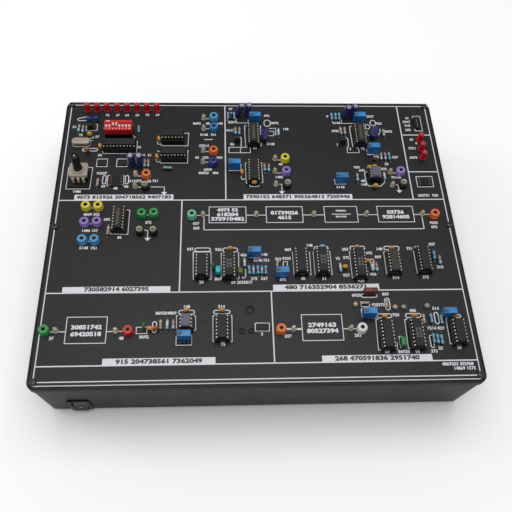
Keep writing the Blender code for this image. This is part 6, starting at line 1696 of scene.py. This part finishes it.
@dataclass
class PowerParts:
    """The rocker switch, the mains inlet and the supply inside."""
    lean: float = 2.8
    wall: float = 46.2
    tilt: float = -11.0

    def wall_frame(self, node: str, front: bool, out: float) -> Matrix:
        """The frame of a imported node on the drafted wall: Z out of the wall, Y up it."""
        low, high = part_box(node)
        rim_low, rim_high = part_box("case_rim")
        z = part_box("case_base")[0].z + out
        inset = 0.8 * MM + self.lean * (rim_low.z - 0.3 * MM - z) / self.wall
        y = rim_low.y + inset if front else rim_high.y - inset
        turn = Matrix.Rotation(math.pi / 2 + math.atan2(self.lean, self.wall), 4, "X")
        if not front:
            turn = Matrix.Rotation(math.pi, 4, "Z") @ turn
        return Matrix.Translation(((low.x + high.x) / 2, y, z)) @ turn

    def switch(self) -> None:
        """Models the bezel with its well, and the rocker with its waisted face."""
        place = self.wall_frame("switch_housing", True, 12 * MM)
        bezel = Bench.bevel(Bench.rounded("bezel", mm(-7.5, -10.5, 0.1), mm(7.5, 10.5, 1.2),
                                          1.2 * MM, 4), 0.35 * MM, 3)
        body = Bench.block("body", mm(-6.5, -9.4, -12.5), mm(6.5, 9.4, 0.5))
        Bench.cut(bezel, body, "UNION")
        for side in (-1, 0, 1):
            tab = Bench.block("tab", (-2.4 * MM, side * 6.3 * MM - 0.4 * MM, -20.5 * MM),
                              (2.4 * MM, side * 6.3 * MM + 0.4 * MM, -12 * MM))
            Bench.cut(bezel, tab, "UNION")
        well = Bench.block("well", mm(-5.15, -8.65, -5.0), mm(5.15, 8.65, 4))
        Bench.cut(bezel, well)
        Bench.dress(Bench.smooth(bezel, 30), Finish.SWITCH)
        bezel.name = "switch_bezel"
        settle(Bench.put(bezel, place), stands_for=("switch_housing",))
        joint = next(row for row in frame["joints"] if row["name"] == "rocker_pivot")
        pivot = Vector(joint["pos_m"])
        reach = 8.4 * MM
        crown, skirt = math.radians(24), math.radians(8)
        top = reach * math.sin(crown)
        rocker = Bench.block("rocker_paddle", (-4.9 * MM, -reach * math.cos(crown), -reach * math.sin(skirt)),
                             (4.9 * MM, reach * math.cos(crown), top))
        Bench.edit(rocker)
        bpy.ops.mesh.select_all(action="SELECT")
        bpy.ops.mesh.subdivide(number_cuts=11)
        Bench.done()
        for point in rocker.data.vertices:
            share = point.co.y / (reach * math.cos(crown))
            if point.co.z > top - 0.01 * MM:
                point.co.z -= 1.2 * MM * (1 - abs(share) ** 1.6)
            if abs(share) > 0.99:
                point.co.y = math.copysign(math.sqrt(max(reach ** 2 - point.co.z ** 2, 0)), share)
        Bench.bevel(rocker, 0.35 * MM, 3, 50)
        Bench.dress(Bench.smooth(rocker, 40), Finish.ROCKER)
        seat = (Matrix.Translation(pivot) @ place.to_3x3().to_4x4()
                @ Matrix.Rotation(math.radians(self.tilt), 4, "X"))
        settle(Bench.put(rocker, seat), "rocker", ("switch_rocker",))
        ring = Bench.turned("mark", rings((1.35, 0), (1.35, 0.05)), 28)
        Bench.cut(ring, Bench.turned("inner", rings((0.95, -1), (0.95, 1)), 28))
        bar = Bench.block("bar", mm(-0.22, -1.3, 0), mm(0.22, 1.3, 0.05))
        Bench.move(ring, (0, -5.3 * MM, top - 0.75 * MM))
        Bench.move(bar, (0, 5.3 * MM, top - 0.75 * MM))
        mark = Bench.dress(Bench.join("rocker_marks", [ring, bar]), Finish.PRINT)
        settle(Bench.put(mark, seat), "rocker")

    def inlet(self) -> None:
        """Models the inlet: a flange with cut corners, a recess and three blades."""
        place = self.wall_frame("power_inlet", False, 24.5 * MM)
        shell = self.cut_corner("inlet_shell", 31.0, 23.6, 4.5, 0.1, 1.3)
        Bench.bevel(shell, 0.25 * MM)
        Bench.cut(shell, self.cut_corner("tub", 27.2, 19.6, 4.5, -18.0, 0.6), "UNION")
        Bench.cut(shell, self.cut_corner("recess", 24.4, 16.8, 3.8, -15.0, 5.0))
        Bench.put(Bench.dress(shell, Finish.INLET), place)
        settle(Bench.smooth(shell, 25), stands_for=("power_inlet",))
        pins = []
        for x, y in ((-7, -2), (0, 2), (7, -2)):
            pin = Bench.block("pin", mm(x - 1, y - 2, -15.5), mm(x + 1, y + 2, -4.0))
            Bench.edit(pin)
            Bench.pick(pin, up)
            Bench.pull(mm(0, 0, 1.0), (0.5, 0.75, 1), (x * MM, y * MM, 0))
            Bench.done()
            pins.append(Bench.bevel(pin, 0.15 * MM))
        blades = Bench.dress(Bench.join("inlet_blades", pins), Finish.TIN)
        settle(Bench.put(blades, place))

    def cut_corner(self, name: str, width: float, height: float, chamfer: float, low: float, high: float) -> Object:
        """A block in millimetres with its two upper corners cut off."""
        piece = Bench.block(name, mm(-width / 2, -height / 2, low), mm(width / 2, height / 2, high))
        Bench.edit(piece)
        Bench.pick_edges(piece, lambda a, b: min(a.y, b.y) > height / 2.1 * MM and abs(a.z - b.z) > 0.1 * MM)
        bpy.ops.mesh.bevel(offset=chamfer * MM, segments=1, affect="EDGES")
        Bench.done()
        return piece

    def supply(self) -> None:
        """Models the supply: board on pillars, laminated transformer and two cans."""
        low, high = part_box("power_supply")
        middle = (low + high) / 2
        board = Bench.bevel(Bench.rounded("supply_board", (low.x, low.y, low.z + 4 * MM), (high.x, high.y,
            low.z + 5.6 * MM), 2 * MM, 3), 0.15 * MM, 1)
        Bench.dress(board, Finish.BOARD)
        parts = [Bench.stub("pillar", [(3.5 * MM, low.z), (3.5 * MM, low.z + 4.2 * MM)], Finish.TIN, 20, (x, y, 0))
                 for x in (low.x + 5 * MM, high.x - 5 * MM) for y in (low.y + 5 * MM, high.y - 5 * MM)]
        core_x = low.x + 26 * MM
        base = low.z + 5.6 * MM
        core = Bench.slab("core", (core_x - 21 * MM, middle.y - 8 * MM, base), (core_x + 21 * MM, middle.y + 8 * MM,
            high.z), Finish.IRON, 0.4, 1)
        bobbin = Bench.rounded("bobbin", (core_x - 13 * MM, middle.y - 17 * MM, base + 5.5 * MM),
                               (core_x + 13 * MM, middle.y + 17 * MM, base + 29.5 * MM), 3 * MM, 4)
        Bench.dress(Bench.smooth(bobbin, 30), Finish.BOBBIN)
        parts += [core, bobbin]
        for side in (-1, 1):
            parts.append(Bench.stub("smoothing", [(6.2 * MM, base), (6.5 * MM, base + 0.5 * MM),
                (6.5 * MM, base + 21.2 * MM), (6.0 * MM, base + 22 * MM)], Finish.SLEEVE, 32, (core_x + 37 * MM,
                middle.y + side * 8 * MM, 0)))
        settle(Bench.join("supply_unit", parts + [board]), stands_for=("power_supply",))

    def build(self) -> None:
        """Builds the power parts."""
        self.switch()
        self.inlet()
        self.supply()


@dataclass
class Studio:
    """Pale floor, soft lights and the camera at the photograph's angle."""
    place: Colour = (-0.02393, -0.25769, 0.45950)
    angles: Colour = (29.9476, -2.6850, -0.4921)
    focal_share: float = 656.3547 / 512
    sensor: float = 36.0
    pale: float = 0.88
    strength: float = 0.44
    lamps: tuple = (((0.0, 0.12, 1.30), 1.15, 7.4), ((-1.1, 0.3, 0.7), 0.5, 1.5))

    def camera(self) -> None:
        """Sets the camera from its fitted place, angles and focal length."""
        lens = bpy.data.cameras.new("photo_camera")
        lens.sensor_width = self.sensor
        lens.lens = self.focal_share * self.sensor
        lens.clip_start = 0.01
        eye = bpy.data.objects.new("photo_camera", lens)
        tip, roll, pan = (math.radians(angle) for angle in self.angles)
        turn = Matrix.Rotation(pan, 4, "Z") @ Matrix.Rotation(tip, 4, "X") @ Matrix.Rotation(roll, 4, "Y")
        eye.matrix_world = Matrix.Translation(self.place) @ turn
        bpy.context.scene.collection.objects.link(eye)
        bpy.context.scene.camera = eye

    def floor(self) -> None:
        """Lays the floor, which shows pale to the camera and keeps the object's shadow."""
        Bench.hold()
        bpy.ops.mesh.primitive_plane_add(size=8.0)
        floor = Bench.named("studio_floor")
        recipe = Recipe("studio_floor")
        seen = recipe.node("ShaderNodeLightPath", out="Is Camera Ray")
        tone = recipe.blend(seen, (0.86, 0.86, 0.87), (1.30, 1.30, 1.32))
        recipe.finish(Base_Color=tone, Roughness=1.0)
        recipe.shader.inputs["Specular IOR Level"].default_value = 0.0
        floor.data.materials.append(recipe.material)

    def light(self) -> None:
        """Hangs the soft lamps and sets the pale surroundings."""
        for number, (place, size, power) in enumerate(self.lamps, start=1):
            lamp = bpy.data.lights.new(f"soft_lamp_{number}", "AREA")
            lamp.size = size
            lamp.energy = power
            item = bpy.data.objects.new(f"soft_lamp_{number}", lamp)
            item.matrix_world = Matrix.Translation(place) @ (-Vector(place)).to_track_quat("-Z",
                "Y").to_matrix().to_4x4()
            bpy.context.scene.collection.objects.link(item)
        world = bpy.data.worlds.new("studio")
        bpy.context.scene.world = world
        world.use_nodes = True
        background = world.node_tree.nodes["Background"].inputs
        background["Color"].default_value = (self.pale, self.pale, self.pale * 1.01, 1)
        background["Strength"].default_value = self.strength
        bpy.context.scene.view_settings.view_transform = "Standard"

    def build(self) -> None:
        """Sets up the studio."""
        self.camera()
        self.floor()
        self.light()


def main() -> None:
    """Builds the trainer piece by piece, then the studio."""
    logging.basicConfig(level=logging.INFO, format="%(name)s %(message)s")
    for assembly in (Case(), Panel(), Chips(), SlideSwitch(), Trimmers(), Lamps(), Sockets(), Resistors(),
                     Capacitors(), SmallParts(), Potentiometer(), PowerParts(), Studio()):
        log.info("building %s", type(assembly).__name__)
        assembly.build()


if __name__ == "__main__":
    main()
